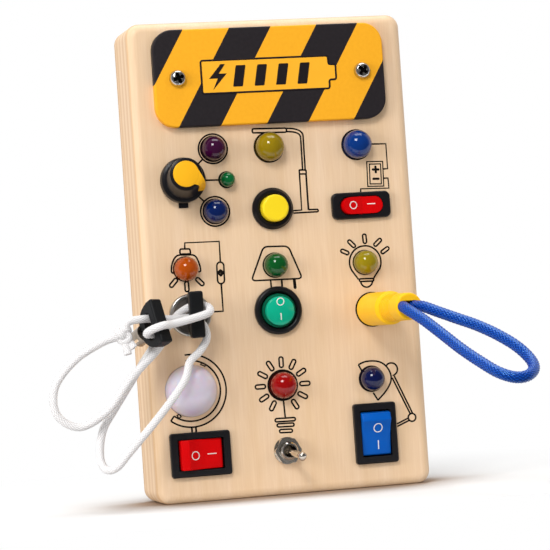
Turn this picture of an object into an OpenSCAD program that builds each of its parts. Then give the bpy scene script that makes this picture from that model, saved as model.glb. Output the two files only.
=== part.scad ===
// Wooden busy board: a hollowed plywood case that carries real switches, lamps, a key lock and a jack plug.
// Origin: centre of the case's bottom face. +X to the right, -Y out of the front face, +Z up.
// Millimetres.

/* [Case] */
// Width of the case
case_w = 96; // [94:1:120]
// Height of the case
case_h = 162; // [162:1:190]
// Depth of the case with its back cover
case_d = 25; // [25:0.5:32]
// Corner radius of the front outline
corner_r = 4.5; // [4:0.5:8]
// Round-over of the front edges
edge_r = 3; // [1:0.5:3.5]
// Thickness of the wood behind the front face
panel_t = 3.5; // [3:0.25:4]
// Thickness of the side walls
wall_t = 4; // [3.5:0.25:4]
// Thickness of the back cover
cover_t = 3; // [2.5:0.5:4]
// Round-over of the back cover's edges
cover_edge_r = 1; // [0.5:0.25:1.5]
// Radius that the routing cutter leaves in the pocket's corners
router_r = 3; // [2:0.5:4]

/* [Layout] */
// Distance from the case's side to the left column of switches
left_inset = 15.4; // [15:0.1:17]
// Distance from the case's side to the right column of switches
right_inset = 18.8; // [18:0.1:20]
// Distance of the middle column from the case's centre line, to the left
middle_shift = 2.3; // [1:0.1:4]
// Height of the lowest row of switches above the bottom
low_row = 16.2; // [16:0.1:17]

/* [Sign] */
// Width of the sign plate
sign_w = 80.5; // [76:0.5:84]
// Height of the sign plate
sign_h = 33; // [30:0.5:34]
// Thickness of the sign plate
sign_t = 3; // [2:0.5:4]
// Corner radius of the sign plate
sign_r = 7; // [3:0.5:10]
// Distance from the case's top to the sign plate's centre
sign_drop = 19.4; // [18:0.1:21]
// Distance between the sign's two screws
sign_screw_span = 64.5; // [62:0.5:70]
// Head diameter of the sign screws
sign_head_d = 5.8; // [5:0.1:7]
// Shank diameter of all wood screws
wood_screw_d = 2.6; // [2:0.1:3]

/* [Lamps] */
// Diameter of the middle sized LEDs
led_mid_d = 8.2; // [7:0.1:8.6]
// Diameter of the small LED
led_small_d = 5.1; // [4:0.1:6]
// Diameter of the large LEDs
led_large_d = 9.8; // [9:0.1:10.5]
// Diameter of the LED in the bulb picture at the bottom
led_bulb_d = 9; // [8:0.1:9.5]
// Straight height of an LED above the front face
led_rise = 1.8; // [0.5:0.1:3]
// Outer diameter of the frosted dome
dome_d = 17.5; // [16:0.1:17.8]
// Wall of the frosted dome
dome_wall = 1.2; // [0.8:0.1:2]

/* [Rotary knob] */
// Diameter of the knob's skirt
knob_skirt_d = 15.4; // [14:0.1:17]
// Diameter of the knob's grip at its foot
knob_grip_d = 12.6; // [11.6:0.1:13]
// Height of the knob's black body above the front face
knob_h = 13; // [11:0.5:16]
// Diameter of the yellow cap disc
knob_cap_d = 9; // [8:0.1:10]
// Diameter of the switch shaft
shaft_d = 6; // [5:0.1:6.2]
// Turn of the pointer below level at rest
knob_rest = 45; // [30:1:60]

/* [Push button] */
// Diameter of the push button's bezel
button_bezel_d = 14.2; // [13.5:0.1:16]
// Diameter of the push cap
button_cap_d = 9.2; // [8:0.1:9.6]
// Height of the push cap above the front face
button_cap_h = 5.4; // [4.6:0.1:7]
// Travel of the push cap
button_travel = 1.8; // [1:0.1:2]
// Diameter of the button's threaded barrel
button_thread_d = 12; // [11.6:0.1:12.6]

/* [Rocker switches] */
// Long side of the large rocker bezels
rocker_bezel_l = 20.7; // [20:0.1:22]
// Short side of the large rocker bezels
rocker_bezel_w = 15; // [14.6:0.1:16]
// Height of the rocker bezels
bezel_t = 2; // [1.6:0.1:2.4]
// Length of the large rockers
rocker_l = 15.2; // [14:0.1:15.6]
// Width of the large rockers
rocker_w = 10.2; // [9:0.1:10.4]
// Tilt of every rocker from its middle position
rocker_tilt = 9; // [6:0.5:10]
// Long side of the mini rocker's bezel
mini_bezel_l = 20.7; // [20:0.1:22]
// Short side of the mini rocker's bezel
mini_bezel_w = 9.1; // [9:0.1:10]
// Length of the oval mini rocker
mini_l = 14.6; // [13:0.1:15]
// Width of the oval mini rocker
mini_w = 5.8; // [5:0.1:6]
// Diameter of the round rocker's bezel
round_bezel_d = 16.4; // [16:0.1:18]
// Diameter of the round rocker at its foot
round_rocker_d = 11.6; // [11:0.1:11.8]
// Diameter of the round rocker's top face
round_top_d = 9.8; // [9:0.1:10.2]

/* [Toggle switch] */
// Diameter of the toggle's threaded bushing
toggle_bush_d = 6; // [5.8:0.1:6.4]
// Height of the bushing above the front face
toggle_bush_h = 4.4; // [4:0.1:5]
// Width across flats of the toggle's nut
toggle_nut_af = 8.2; // [7.8:0.1:9]
// Height of the lever's tip above the front face
toggle_h = 13; // [11:0.5:15]
// Throw of the lever from its middle position
toggle_throw = 12.5; // [8:0.5:13]

/* [Key switch] */
// Diameter of the lock's bezel
lock_bezel_d = 14.4; // [14:0.1:16]
// Height of the lock's bezel
lock_bezel_t = 1.8; // [1.4:0.1:2.4]
// Diameter of the lock's threaded barrel
lock_barrel_d = 12; // [11.8:0.1:12.4]
// Diameter of the lock's rotor
rotor_d = 8; // [7.8:0.1:8.6]
// Diameter of the key's tube
key_tube_d = 6; // [5.4:0.1:6.2]
// Wall of the key's tube
key_tube_wall = 0.9; // [0.7:0.1:1.2]
// Length of the key's tube below its bow
key_tube_l = 4.2; // [3.6:0.1:6]
// Width of the key bow
bow_w = 15.6; // [15:0.1:16]
// Height of the key bow's plate below its bar
bow_plate_h = 7.4; // [7:0.1:7.6]
// Thickness of the key bow's plate
bow_t = 3; // [2.5:0.1:3.4]
// Thickness of the bar along the bow's outer end
bow_bar_t = 4.7; // [4:0.1:5]
// Length of the cord slot in the bow
bow_slot_l = 9.6; // [9:0.1:10]
// Height of the cord slot in the bow
bow_slot_h = 4.2; // [4:0.1:4.4]

/* [Jack plug] */
// Diameter of the plug's large end
plug_d = 11.3; // [10.5:0.1:12.5]
// Length of the plug's large end
plug_head_l = 23; // [18:0.5:26]
// Diameter of the plug's ribbed sleeve at its root
sleeve_d = 9.4; // [8.8:0.1:10]
// Diameter of the plug's ribbed sleeve at its end
sleeve_end_d = 9; // [8.6:0.1:9.4]
// Length of the ribbed sleeve
sleeve_l = 20; // [16:0.5:24]
// Diameter of the jack pin
pin_d = 3.5; // [3:0.1:3.6]
// Length of the jack pin outside the plug
pin_l = 14; // [12:0.5:14]

/* [Battery] */
// Diameter of a cell
cell_d = 10.5; // [10:0.1:10.5]
// Length of a cell
cell_l = 44.5; // [43:0.5:44.5]
// Number of cells
cell_count = 2; // [2:1:2]
// Wall of the battery box
box_wall = 1.2; // [1:0.1:1.4]
// Thickness of the battery door
door_t = 1.8; // [1.4:0.1:2]

/* [Cords] */
// Diameter of the white cord
white_cord_d = 2.7; // [2:0.1:2.8]
// Diameter of the blue cord
blue_cord_d = 3.8; // [3:0.1:3.8]

/* [Fits] */
// Radial clearance of parts that run in each other
run_gap = 0.06; // [0.02:0.01:0.1]
// Clearance around a part that sits in a hole
seat_gap = 0.1; // [0.05:0.01:0.2]
// Air under parts that lie close to the front face
face_gap = 0.3; // [0.1:0.05:0.4]

/* [Hidden] */

$fn = 64;
tiny = 0.01;

// The layout has three columns, and six rows that share the height under the sign plate.
sign_z = case_h - sign_drop;
sign_at = [0, sign_z];
lamp_drop = 7.9;
row_step = (sign_z - sign_h / 2 - lamp_drop - low_row) / 5;
left_x = left_inset - case_w / 2;
middle_x = -middle_shift;
right_x = case_w / 2 - right_inset;
function row(k) = low_row + k * row_step;

// Places on the front face: [distance to the right of the middle, height above the bottom].
red_rocker_at = [left_x, row(0)];
toggle_at = [middle_x - 0.3, row(0) - 1.2];
blue_rocker_at = [right_x - 0.4, row(0) + 2.3];
dome_at = [left_x - 1.8, row(1) + 1];
led_red_at = [middle_x - 0.3, row(1) + 0.6];
led_desk_at = [right_x - 0.3, row(1) + 0.5];
led_orange_at = [left_x - 0.8, row(3) + 1.2];
led_green_at = [middle_x, row(3) + 0.6];
led_lime_at = [right_x + 0.2, row(3) - 0.4];
lock_at = led_orange_at + [0.5, -15.6];
round_at = led_green_at + [-0.1, -15.4];
jack_at = led_lime_at + [1.5, -16.2];
button_at = [middle_x + 0.4, row(4) - 0.6];
mini_at = [right_x, row(4) - 1.2];
knob_at = [left_x, row(5) - 9.9];
led_purple_at = knob_at + [11.5, 10.3];
led_small_at = knob_at + [15.5, -0.4];
led_lower_at = knob_at + [10.8, -10.9];
led_olive_at = [middle_x + 0.7, row(5)];
led_upper_at = [right_x + 0.1, row(5) - 0.7];

// Every LED hole: place and lamp diameter.
lamps = [[led_purple_at, led_mid_d], [led_small_at, led_small_d], [led_lower_at, led_mid_d],
    [led_olive_at, led_large_d], [led_upper_at, led_large_d], [led_orange_at, led_mid_d],
    [led_green_at, led_mid_d], [led_lime_at, led_mid_d], [led_red_at, led_bulb_d],
    [led_desk_at, led_mid_d]];

// Case
body_d = case_d - cover_t;
front_y = -case_d / 2;
back_y = case_d / 2;
pocket_w = case_w - 2 * wall_t;
box_room = 0.5;
box_side_room = 1.5;
foot_screw_x = 14;
side_screw_in = 7;
top_screw_in = 10;
top_screw_drop = 12;
cover_screws_at = [for (s = [-1, 1]) each [[s * foot_screw_x, row(0) / 2],
    [s * (case_w / 2 - side_screw_in), row(3.5)], [s * (case_w / 2 - top_screw_in), case_h - top_screw_drop]]];
boss_w = 8;
cover_head_d = 5;
cover_head_h = 1.2;
cover_screw_l = 10;
screw_tip_l = 1.5;
screw_tip_d = 0.3;
head_sink = 0.2;
pilot_d = wood_screw_d + seat_gap;

// Sign screws
sign_head_h = 2.2;
sign_screw_l = 8;
recess_w = 0.8;

// LEDs
led_flange_h = 1;
led_flange_extra = 1;
lead_w = 0.5;
lead_pitch = 2.54;
lead_l = 6;

// Frosted dome and its lamp
dome_straight = 0.6;
dome_flange_d = dome_d + 1.2;
dome_flange_h = 1.2;
dome_led_d = 5;
dome_led_drop = 1.2;

// Rotary switch and knob
bush_d = shaft_d + 1.4;
bush_h = 2.4;
rotary_body_w = 12.6;
rotary_body_h = 8;
rotary_tab_x = 4;
rotary_tab_l = 4;
rotary_tab_z = -panel_t - rotary_body_h - rotary_tab_l;
rotary_tabs_at = knob_at - [0, rotary_body_w / 2 - 1.3];
rotary_nut_af = 10;
lug_washer_d = 12;
lug_washer_t = 0.5;
lug_w = 3.2;
lug_reach = 9.2;
nut_t = 1.6;
knob_under = lug_washer_t + face_gap;
skirt_h = 3.2;
knob_top_d = knob_grip_d - 0.8;
shaft_shoulder = bush_h + face_gap;
knob_well_d = lug_washer_d + 1.2;
knob_well_top = shaft_shoulder + face_gap;
flutes = 18;
flute_depth = 0.35;
flute_w = 1.4;
pointer_w = 2.2;
pointer_in = 5.2;
pointer_out = knob_skirt_d / 2 - 1.2;
cap_disc_t = 1;
shaft_flat = 1;

// Push button
button_bore_d = button_cap_d + 2 * run_gap;
button_bezel_t = 2.2;
button_barrel_l = 9;
button_base_l = 4;
button_tab_x = 3;
button_tab_l = 4;
button_guide_d = button_thread_d - 1.4;
button_flange_d = button_guide_d - 2 * run_gap;
button_nut_af = 14;
button_nut_t = 2.2;
spring_wire = 0.6;
spring_d = 6.6;
spring_turns = 4.5;

// Rocker switches
pivot_h = 0.3;
well_h = 3.6;
rocker_foot = 1.4;
rocker_mid_h = bezel_t - 0.1;
rocker_end_h = bezel_t + 0.9;
rocker_end_gap = 0.3;
rocker_side_gap = 0.15;
stub_d = 2.2;
stub_l = 0.8;
rocker_body_l = rocker_bezel_l - 1.7;
rocker_body_w = rocker_bezel_w - 2;
rocker_body_h = 12.5;
mini_body_l = mini_bezel_l - 1.9;
mini_body_w = mini_bezel_w - 0.9;
mini_body_h = 10;
mini_stub_d = 1.6;
mini_stub_l = 0.55;
mini_end_gap = 0.45;
mini_side_gap = 0.3;
round_body_d = round_bezel_d - 1.6;
round_window_d = round_rocker_d + 0.7;
round_body_h = 12;
round_top_h = 3.6;
round_foot_h = 0.8;
terminal_w = 4.8;
mini_tab_w = 2.8;
terminal_t = 0.8;
terminal_l = 5.2;
rocker_tab_x = 4.25;
round_tab_x = 3.5;
mini_tab_x = 4;
lock_tab_x = 2.5;
lock_tab_l = 3.6;
clip_h = 3.5;
clip_out = 0.8;
clip_w = 5;

// Toggle switch
toggle_pivot_h = 1.6;
toggle_bore_d = toggle_bush_d - 1.6;
toggle_ball_d = toggle_bore_d - 2 * run_gap;
toggle_bore_depth = 3;
toggle_stem_d = 2.1;
toggle_tip_d = 2.7;
toggle_tail_d = 1.8;
toggle_tail_h = -2;
toggle_washer_d = 9.2;
toggle_washer_t = 0.5;
toggle_nut_t = 2;
toggle_body_l = 13;
toggle_body_w = 8;
toggle_body_h = 9.6;
toggle_tab_x = 4.7;
toggle_tab_l = 3.5;
keyway_w = 0.9;
keyway_depth = 0.45;

// Key switch and keys
lock_face_d = lock_bezel_d - 2.6;
lock_face_t = lock_bezel_t - 0.5;
lock_barrel_l = 14;
lock_nut_af = 15;
lock_nut_t = 2.5;
rotor_rise = lock_face_t - 0.2;
rotor_depth = 12.5;
bow_foot = lock_bezel_t + face_gap;
bar_z = bow_foot + bow_plate_h;
bar_h = 2.9;
bow_top = bar_z + bar_h;
bow_slot_z = bar_z - 0.4 - bow_slot_h / 2;
key_tip_z = bow_foot - key_tube_l;
key_tang_w = 3.6;
key_tang_t = 1.4;
key_tang_l = 1.6;
key_nib_w = 1.2;
key_nib_out = 0.5;
key_notch_w = 1;
key_notch_l = 2.6;
key_notch_turn = 215;
spare_at = [-51, 57.2];
spare_h = 6.2;
spare_roll = -2;
spare_lean = -23;
spare_swing = 26;

// Jack socket and plug
jack_bush_d = 6;
jack_bush_h = 1.4;
jack_body_d = 8;
jack_body_l = 12;
jack_nut_d = 8;
jack_nut_t = 1.2;
jack_bore_d = pin_d + 2 * run_gap;
plug_well_d = jack_nut_d + 1;
plug_well_h = jack_bush_h + 0.6;
pin_tip_l = 3;
plug_step_z = face_gap + plug_head_l;
plug_end = plug_step_z + sleeve_l;
sleeve_ribs = 6;
rib_pitch = 1.7;
rib_depth = 0.25;
cord_socket_depth = 3;
strand_x = blue_cord_d / 2 + 0.12;

// Battery compartment, seen from behind
battery_drop = 21;
battery_z = case_h - battery_drop;
door_ledge = 1;
battery_wall = box_wall + door_ledge;
contact_room = 2.2;
contact_t = 0.4;
cell_nub_d = 3.8;
cell_nub_h = 1;
cell_play = 0.2;
cell_z = -door_t - cell_play - cell_d / 2;
screw_strip = 6.4;
cell_pitch = cell_d + 0.4;
box_in_l = cell_l + 2 * contact_room;
box_in_h = cell_count * cell_pitch + screw_strip;
box_l = box_in_l + 2 * battery_wall;
box_h = box_in_h + 2 * battery_wall;
box_depth = door_t + cell_d + 2 * cell_play + box_wall;
box_flange = 2.2;
box_flange_t = 1.5;
door_l = box_in_l + 2 * door_ledge;
door_h = box_in_h + 2 * door_ledge;
door_screw_y = box_in_h / 2 - screw_strip / 2;
door_screw_d = 2.2;
door_head_d = 4.2;
door_head_h = 1;
door_screw_l = 7;
door_boss_d = 5;

// Wiring: red wires lie on the back cover, black wires just above them
wire_d = 1;
wire_bend_r = 1.4;
red_plane = face_gap + wire_d / 2 - body_d;
black_plane = red_plane + wire_d + face_gap;

// Routes of the cords: [right, up, out of the front face].
blue_route = [[jack_at[0] - strand_x, jack_at[1], plug_end - cord_socket_depth],
    [jack_at[0] - strand_x, jack_at[1], plug_end], [29.2, 59.6, 47.5], [32, 56.2, 54], [35.3, 51.2, 62.5],
    [38.5, 46.2, 71], [41.8, 41.8, 79.5], [45, 38.4, 86.2], [49.3, 36.6, 89], [53.8, 36.8, 88],
    [57.6, 38.7, 83.5], [58.6, 41.6, 78], [56.2, 45.8, 73], [52.2, 49.8, 67], [47.6, 53.2, 61],
    [42.6, 55.9, 56], [38, 58.4, 51.2], [34.8, 60.3, 47],
    [jack_at[0] + strand_x, jack_at[1], plug_end],
    [jack_at[0] + strand_x, jack_at[1], plug_end - cord_socket_depth]];
white_route = [[-57.6, 59.3, 12.6], [-56.5, 62, 13], [-51.5, 62.7, 12.3], [-45.9, 62.5, 9.7],
    [-40, 62, 8], [-33.6, 61.9, 7], [-30, 59.3, 6.9], [-29.2, 55, 7.2], [-32, 50.8, 8],
    [-36, 47.4, 9.5], [-39, 41, 12], [-48, 30.8, 14], [-59.5, 19.4, 16], [-64, 14.9, 16],
    [-67, 14.3, 12], [-68, 18.6, 8.5], [-66.5, 26.8, 8], [-61.5, 34.5, 8], [-49, 51.2, 6.3],
    [-43.5, 57.4, 4.5], [-38.5, 63, 5], [-34, 65.7, 6.4], [-30.2, 66, 6.9], [-28.5, 65, 10.6],
    [-30.2, 63, 14.3], [-41.8, 60.5, 17.3], [-46.3, 60.1, 19.9], [-50.3, 58.8, 18.9],
    [-51, 57.6, 15.8], [-47, 57.2, 12.6], [-45, 55.2, 10.4], [-47.2, 51.7, 9.3],
    [-56.7, 43.3, 12], [-65, 33.6, 12.5], [-74.7, 28.8, 12.5], [-82, 33.4, 12.5], [-82, 42.4, 12.5],
    [-75, 50.6, 12.5], [-66, 55.7, 12.5], [-60.3, 57.4, 12.5]];
knot_at = [-58.2, 58, 12.6];

// ---------- placing ----------

// Local +Z points out of the front face, local +Y up; p is a place on the front face.
module at_front(p) { translate([p[0], front_y, p[1]]) rotate([90, 0, 0]) children(); }

// Local +Z points out of the back face, local +Y up.
module at_back(p) { translate([p[0], back_y, p[1]]) rotate([90, 0, 180]) children(); }

// Turns a rocker about its pivot line, which runs along local Y.
module tilted(angle) {
    translate([0, 0, pivot_h]) rotate([0, angle, 0]) translate([0, 0, -pivot_h]) children();
}

// ---------- shared shapes ----------

module rounded_rect(w, h, r) {
    square([w - 2 * r, h], center = true);
    square([w, h - 2 * r], center = true);
    for (x = [-1, 1], y = [-1, 1])
        translate([x * (w / 2 - r), y * (h / 2 - r)]) circle(r);
}

module block(w, h, r, z0, z1) {
    translate([0, 0, z0]) linear_extrude(z1 - z0) rounded_rect(w, h, r);
}

module disc(d, z0, z1) { translate([0, 0, z0]) cylinder(d = d, h = z1 - z0); }

// Side view of a slab: front edges rounded, back edges square.
module slab_side(w, d, re) {
    translate([-w / 2 + re, -d]) square([w - 2 * re, d]);
    translate([-w / 2, -d]) square([w, d - re]);
    for (x = [-1, 1]) translate([x * (w / 2 - re), -re]) circle(re);
}

// A plate with rounded corners whose front edges are rounded over; its front face is z = 0.
module slab(w, h, d, rc, re) {
    rotate([90, 0, 90]) linear_extrude(w - 2 * rc, center = true) slab_side(h, d, re);
    rotate([90, 0, 0]) linear_extrude(h - 2 * rc, center = true) slab_side(w, d, re);
    for (x = [-1, 1], y = [-1, 1]) translate([x * (w / 2 - rc), y * (h / 2 - rc), 0])
        rotate_extrude() intersection() {
            slab_side(2 * rc, d, re);
            translate([0, -d]) square([rc, d]);
        }
}

// Hexagon with flats a distance af apart, with a hole.
module hex_nut(af, bore, z0, z1) {
    difference() {
        intersection() {
            translate([0, 0, z0]) cylinder(d = af / cos(30), h = z1 - z0, $fn = 6);
            translate([0, 0, z0]) cylinder(d = af / cos(30) - 0.3, h = z1 - z0);
        }
        disc(bore, z0 - 1, z1 + 1);
    }
}

// Flat-sided round shaft.
module d_shaft(d, flat, z0, z1) {
    difference() {
        disc(d, z0, z1);
        translate([d / 2 - flat, -d, z0 - 1]) cube([d, 2 * d, z1 - z0 + 2]);
    }
}

// ---------- swept cords ----------

function unit(v) = v / norm(v);
function spline(a, b, c, d, t) = b + 0.5 * t * (c - a + t * (2 * a - 5 * b + 4 * c - d
    + t * (3 * (b - c) + d - a)));
// Points of a smooth curve through a route, with n steps between two route points.
function smooth(r, n) = let (last = len(r) - 1) [
    for (i = [0:last - 1], k = [0:n - 1])
        spline(r[max(i - 1, 0)], r[i], r[i + 1], r[min(i + 2, last)], k / n),
    r[last]];
function forward(c, i) = unit(c[min(i + 1, len(c) - 1)] - c[max(i - 1, 0)]);
function across(v, t) = unit(v - (v * t) * t);
// Sideways directions carried along the curve without twist.
function frames(c) = [for (i = 0, s = across([0.3, 0.2, 1], forward(c, 0)); i < len(c);
    i = i + 1, s = i < len(c) ? across(s, forward(c, i)) : s) s];

module tube(c, d, sides) {
    side = frames(c);
    ring = [for (i = [0:len(c) - 1], k = [0:sides - 1])
        let (t = forward(c, i), a = 360 * k / sides)
        c[i] + d / 2 * (cos(a) * side[i] + sin(a) * cross(t, side[i]))];
    n = len(c);
    walls = [for (i = [0:n - 2], k = [0:sides - 1]) let (m = (k + 1) % sides)
        [i * sides + k, i * sides + m, (i + 1) * sides + m, (i + 1) * sides + k]];
    ends = [[for (k = [sides - 1:-1:0]) k], [for (k = [0:sides - 1]) (n - 1) * sides + k]];
    polyhedron(points = ring, faces = [for (f = concat(walls, ends)) [for (j = [len(f) - 1:-1:0]) f[j]]]);
}

function helix(d, h, turns, steps) = [for (i = [0:turns * steps])
    [d / 2 * cos(360 * i / steps), d / 2 * sin(360 * i / steps), h * i / (turns * steps)]];

// Route points in the part's frame.
function to_world(r) = [for (q = r) [q[0], front_y - q[2], q[1]]];

// ---------- case ----------

// Hollow for the switches, with a narrower stretch above it for the battery box.
module pocket() {
    box_pocket_top = battery_z + box_h / 2 + box_room;
    pocket_top = battery_z - box_h / 2 - box_room;
    overlap = 2 * router_r + 2;
    difference() {
        union() {
            translate([0, (wall_t + pocket_top - case_h) / 2, 0])
                block(pocket_w, pocket_top - wall_t, router_r, -case_d, -panel_t);
            translate([0, (pocket_top - overlap + box_pocket_top - case_h) / 2, 0])
                block(box_l + 2 * box_side_room, box_pocket_top - pocket_top + overlap, router_r,
                    -case_d, -panel_t);
        }
        for (s = cover_screws_at) translate([s[0], s[1] - case_h / 2, -body_d])
            screw_boss(s);
    }
}

// Wood left standing for a cover screw, tied to the nearest wall.
module screw_boss(s) {
    low = s[1] < 2 * boss_w;
    h = low ? s[1] + boss_w / 2 : boss_w;
    w = low ? boss_w : case_w / 2 - abs(s[0]) + boss_w / 2;
    dx = low ? 0 : sign(s[0]) * (w - boss_w) / 2;
    dy = low ? -(h - boss_w) / 2 : 0;
    translate([dx - w / 2, dy - h / 2, 0]) cube([w, h, body_d]);
}

module front_hole(p, d) { translate([p[0], p[1] - case_h / 2]) circle(d = d); }

module front_holes() {
    gap = 2 * seat_gap;
    for (l = lamps) front_hole(l[0], l[1] + gap);
    front_hole(dome_at, dome_d + gap);
    front_hole(knob_at, bush_d + gap);
    front_hole(button_at, button_thread_d + gap);
    front_hole(lock_at, lock_barrel_d + gap);
    front_hole(jack_at, jack_bush_d + gap);
    front_hole(toggle_at, toggle_bush_d + gap);
    front_hole(round_at, round_body_d + gap);
    translate([red_rocker_at[0], red_rocker_at[1] - case_h / 2])
        square([rocker_body_l + gap, rocker_body_w + gap], center = true);
    translate([blue_rocker_at[0], blue_rocker_at[1] - case_h / 2])
        square([rocker_body_w + gap, rocker_body_l + gap], center = true);
    translate([mini_at[0], mini_at[1] - case_h / 2])
        square([mini_body_l + gap, mini_body_w + gap], center = true);
}

module case() {
    color("burlywood") difference() {
        at_front([0, case_h / 2]) difference() {
            slab(case_w, case_h, body_d, corner_r, edge_r);
            pocket();
            translate([0, 0, -panel_t - 1]) linear_extrude(panel_t + 2) front_holes();
        }
        for (x = [-1, 1]) at_front([x * sign_screw_span / 2, sign_z])
            disc(pilot_d, -sign_screw_l, 1);
        for (s = cover_screws_at) at_back(s) disc(pilot_d, -cover_screw_l - 0.5, 1);
    }
}

module back_cover() {
    color("wheat") difference() {
        at_back([0, case_h / 2]) slab(case_w, case_h, cover_t, corner_r, cover_edge_r);
        at_back([0, battery_z]) {
            block(box_l + 2 * seat_gap, box_h + 2 * seat_gap, 1, -cover_t - 1, 1);
            block(box_l + 2 * box_flange + 2 * seat_gap, box_h + 2 * box_flange + 2 * seat_gap, 2,
                -box_flange_t, 1);
        }
        for (s = cover_screws_at) at_back(s) countersink(wood_screw_d, cover_head_d, cover_head_h);
    }
}

// Head of a countersunk screw, sunk just below the surface at z = 0.
module countersunk_head(d, head_d, cone_h) {
    translate([0, 0, -head_sink - cone_h]) cylinder(d1 = d, d2 = head_d, h = cone_h);
    disc(head_d, -head_sink - tiny, -head_sink / 2);
}

// Hole that such a screw passes through, with its seat.
module countersink(d, head_d, cone_h) {
    gap = 2 * seat_gap;
    disc(d + gap, -2 * cover_t, 1);
    translate([0, 0, -head_sink - cone_h]) cylinder(d1 = d + gap, d2 = head_d + gap, h = cone_h);
    disc(head_d + gap, -head_sink - tiny, 1);
}

// Cross recess cut into a screw head whose top is z.
module cross_recess(z, w, depth) {
    for (a = [0, 90]) rotate([0, 0, a]) translate([-w / 2, -recess_w / 2, z - depth])
        cube([w, recess_w, depth + 1]);
}

module cover_screws() {
    color("silver") for (s = cover_screws_at) at_back(s) difference() {
        union() {
            countersunk_head(wood_screw_d, cover_head_d, cover_head_h);
            disc(wood_screw_d, screw_tip_l - cover_screw_l, -head_sink - cover_head_h + tiny);
            translate([0, 0, -cover_screw_l])
                cylinder(d1 = screw_tip_d, d2 = wood_screw_d, h = screw_tip_l);
        }
        cross_recess(0, cover_head_d / 2, 0.9);
    }
}

// ---------- sign ----------

module sign_plate() {
    color("gold") at_front(sign_at) difference() {
        translate([0, 0, sign_t]) slab(sign_w, sign_h, sign_t, sign_r, 0.6);
        for (x = [-1, 1]) translate([x * sign_screw_span / 2, 0, 0])
            disc(wood_screw_d + 2 * seat_gap, -1, sign_t + 1);
    }
}

module sign_screws() {
    dome_r = (pow(sign_head_d / 2, 2) + pow(sign_head_h, 2)) / (2 * sign_head_h);
    color("silver") for (x = [-1, 1]) at_front([x * sign_screw_span / 2, sign_z]) difference() {
        union() {
            intersection() {
                disc(sign_head_d, sign_t, sign_t + sign_head_h);
                translate([0, 0, sign_t + sign_head_h - dome_r]) sphere(dome_r + 0.35);
            }
            disc(wood_screw_d, screw_tip_l - sign_screw_l, sign_t + tiny);
            translate([0, 0, -sign_screw_l + tiny])
                cylinder(d1 = screw_tip_d, d2 = wood_screw_d, h = screw_tip_l);
        }
        cross_recess(sign_t + sign_head_h, sign_head_d - 2.6, 1.2);
    }
}

// ---------- battery ----------

module battery_box() {
    color("#202020") at_back([0, battery_z]) {
        difference() {
            union() {
                block(box_l, box_h, 0.8, -box_depth, 0);
                block(box_l + 2 * box_flange, box_h + 2 * box_flange, 1.8, -box_flange_t, 0);
            }
            block(box_in_l, box_in_h, 0.6, -box_depth + box_wall, 1);
            block(door_l + 2 * seat_gap, door_h + 2 * seat_gap, 0.8, -door_t, 1);
        }
        translate([0, door_screw_y, 0]) difference() {
            disc(door_boss_d, -box_depth + box_wall - tiny, -door_t);
            disc(door_screw_d + 2 * run_gap, -box_depth + box_wall + 1, 0);
        }
    }
}

function cell_y(i) = -box_in_h / 2 + cell_pitch * (i + 0.5);

module battery_cells() {
    color("darkorange") at_back([0, battery_z]) for (i = [0:cell_count - 1])
        translate([0, cell_y(i), cell_z]) rotate([0, i % 2 == 0 ? 90 : -90, 0]) rotate_extrude() {
            translate([0, -cell_l / 2]) square([cell_d / 2, cell_l - cell_nub_h]);
            translate([0, cell_l / 2 - cell_nub_h - tiny]) square([cell_nub_d / 2, cell_nub_h + tiny]);
        }
}

// Conical coil of a battery spring, wound as rings that touch, on a plate at x = 0.
module contact_spring(l) {
    rotate([0, 90, 0]) for (k = [0:3]) translate([0, 0, 0.2 + (l - 0.5) * k / 3]) rotate_extrude()
        translate([3.2 - 0.45 * k, 0]) circle(0.3);
}

module battery_contacts() {
    color("silver") at_back([0, battery_z]) for (i = [0:cell_count - 1], e = [-1, 1])
        translate([e * box_in_l / 2, cell_y(i), cell_z]) mirror([e > 0 ? 1 : 0, 0, 0]) {
            translate([0, -cell_d / 2 + 1, -cell_d / 2 + 1]) cube([contact_t, cell_d - 2, cell_d - 2]);
            if (e == (i % 2 == 0 ? -1 : 1)) translate([contact_t, 0, 0])
                contact_spring(contact_room - contact_t - seat_gap);
            else translate([contact_t - tiny, 0, 0]) rotate([0, 90, 0])
                cylinder(d = cell_nub_d, h = contact_room - contact_t - seat_gap);
        }
}

module battery_door() {
    color("#262626") at_back([0, battery_z]) difference() {
        union() {
            block(door_l, door_h, 0.8, -door_t, 0);
            for (k = [-2:2]) translate([k * 4, -box_in_h / 5, 0]) block(1.6, 10, 0.7, -tiny, 0.5);
        }
        translate([0, door_screw_y, 0]) countersink(door_screw_d, door_head_d, door_head_h);
    }
}

module door_screw() {
    color("silver") at_back([0, battery_z]) translate([0, door_screw_y, 0]) difference() {
        union() {
            countersunk_head(door_screw_d, door_head_d, door_head_h);
            disc(door_screw_d, -door_screw_l, -head_sink - door_head_h + tiny);
        }
        cross_recess(0, door_head_d - 1.8, 0.8);
    }
}

// ---------- lamps ----------

// Epoxy LED: flange behind the panel, straight body through it, round nose.
module led(d) {
    rotate_extrude() {
        translate([0, -panel_t - led_flange_h]) square([d / 2 + led_flange_extra / 2, led_flange_h]);
        translate([0, -panel_t - tiny]) square([d / 2, panel_t + led_rise + tiny]);
        intersection() {
            translate([0, led_rise]) circle(d / 2);
            translate([0, led_rise - tiny]) square([d, d]);
        }
    }
}

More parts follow.
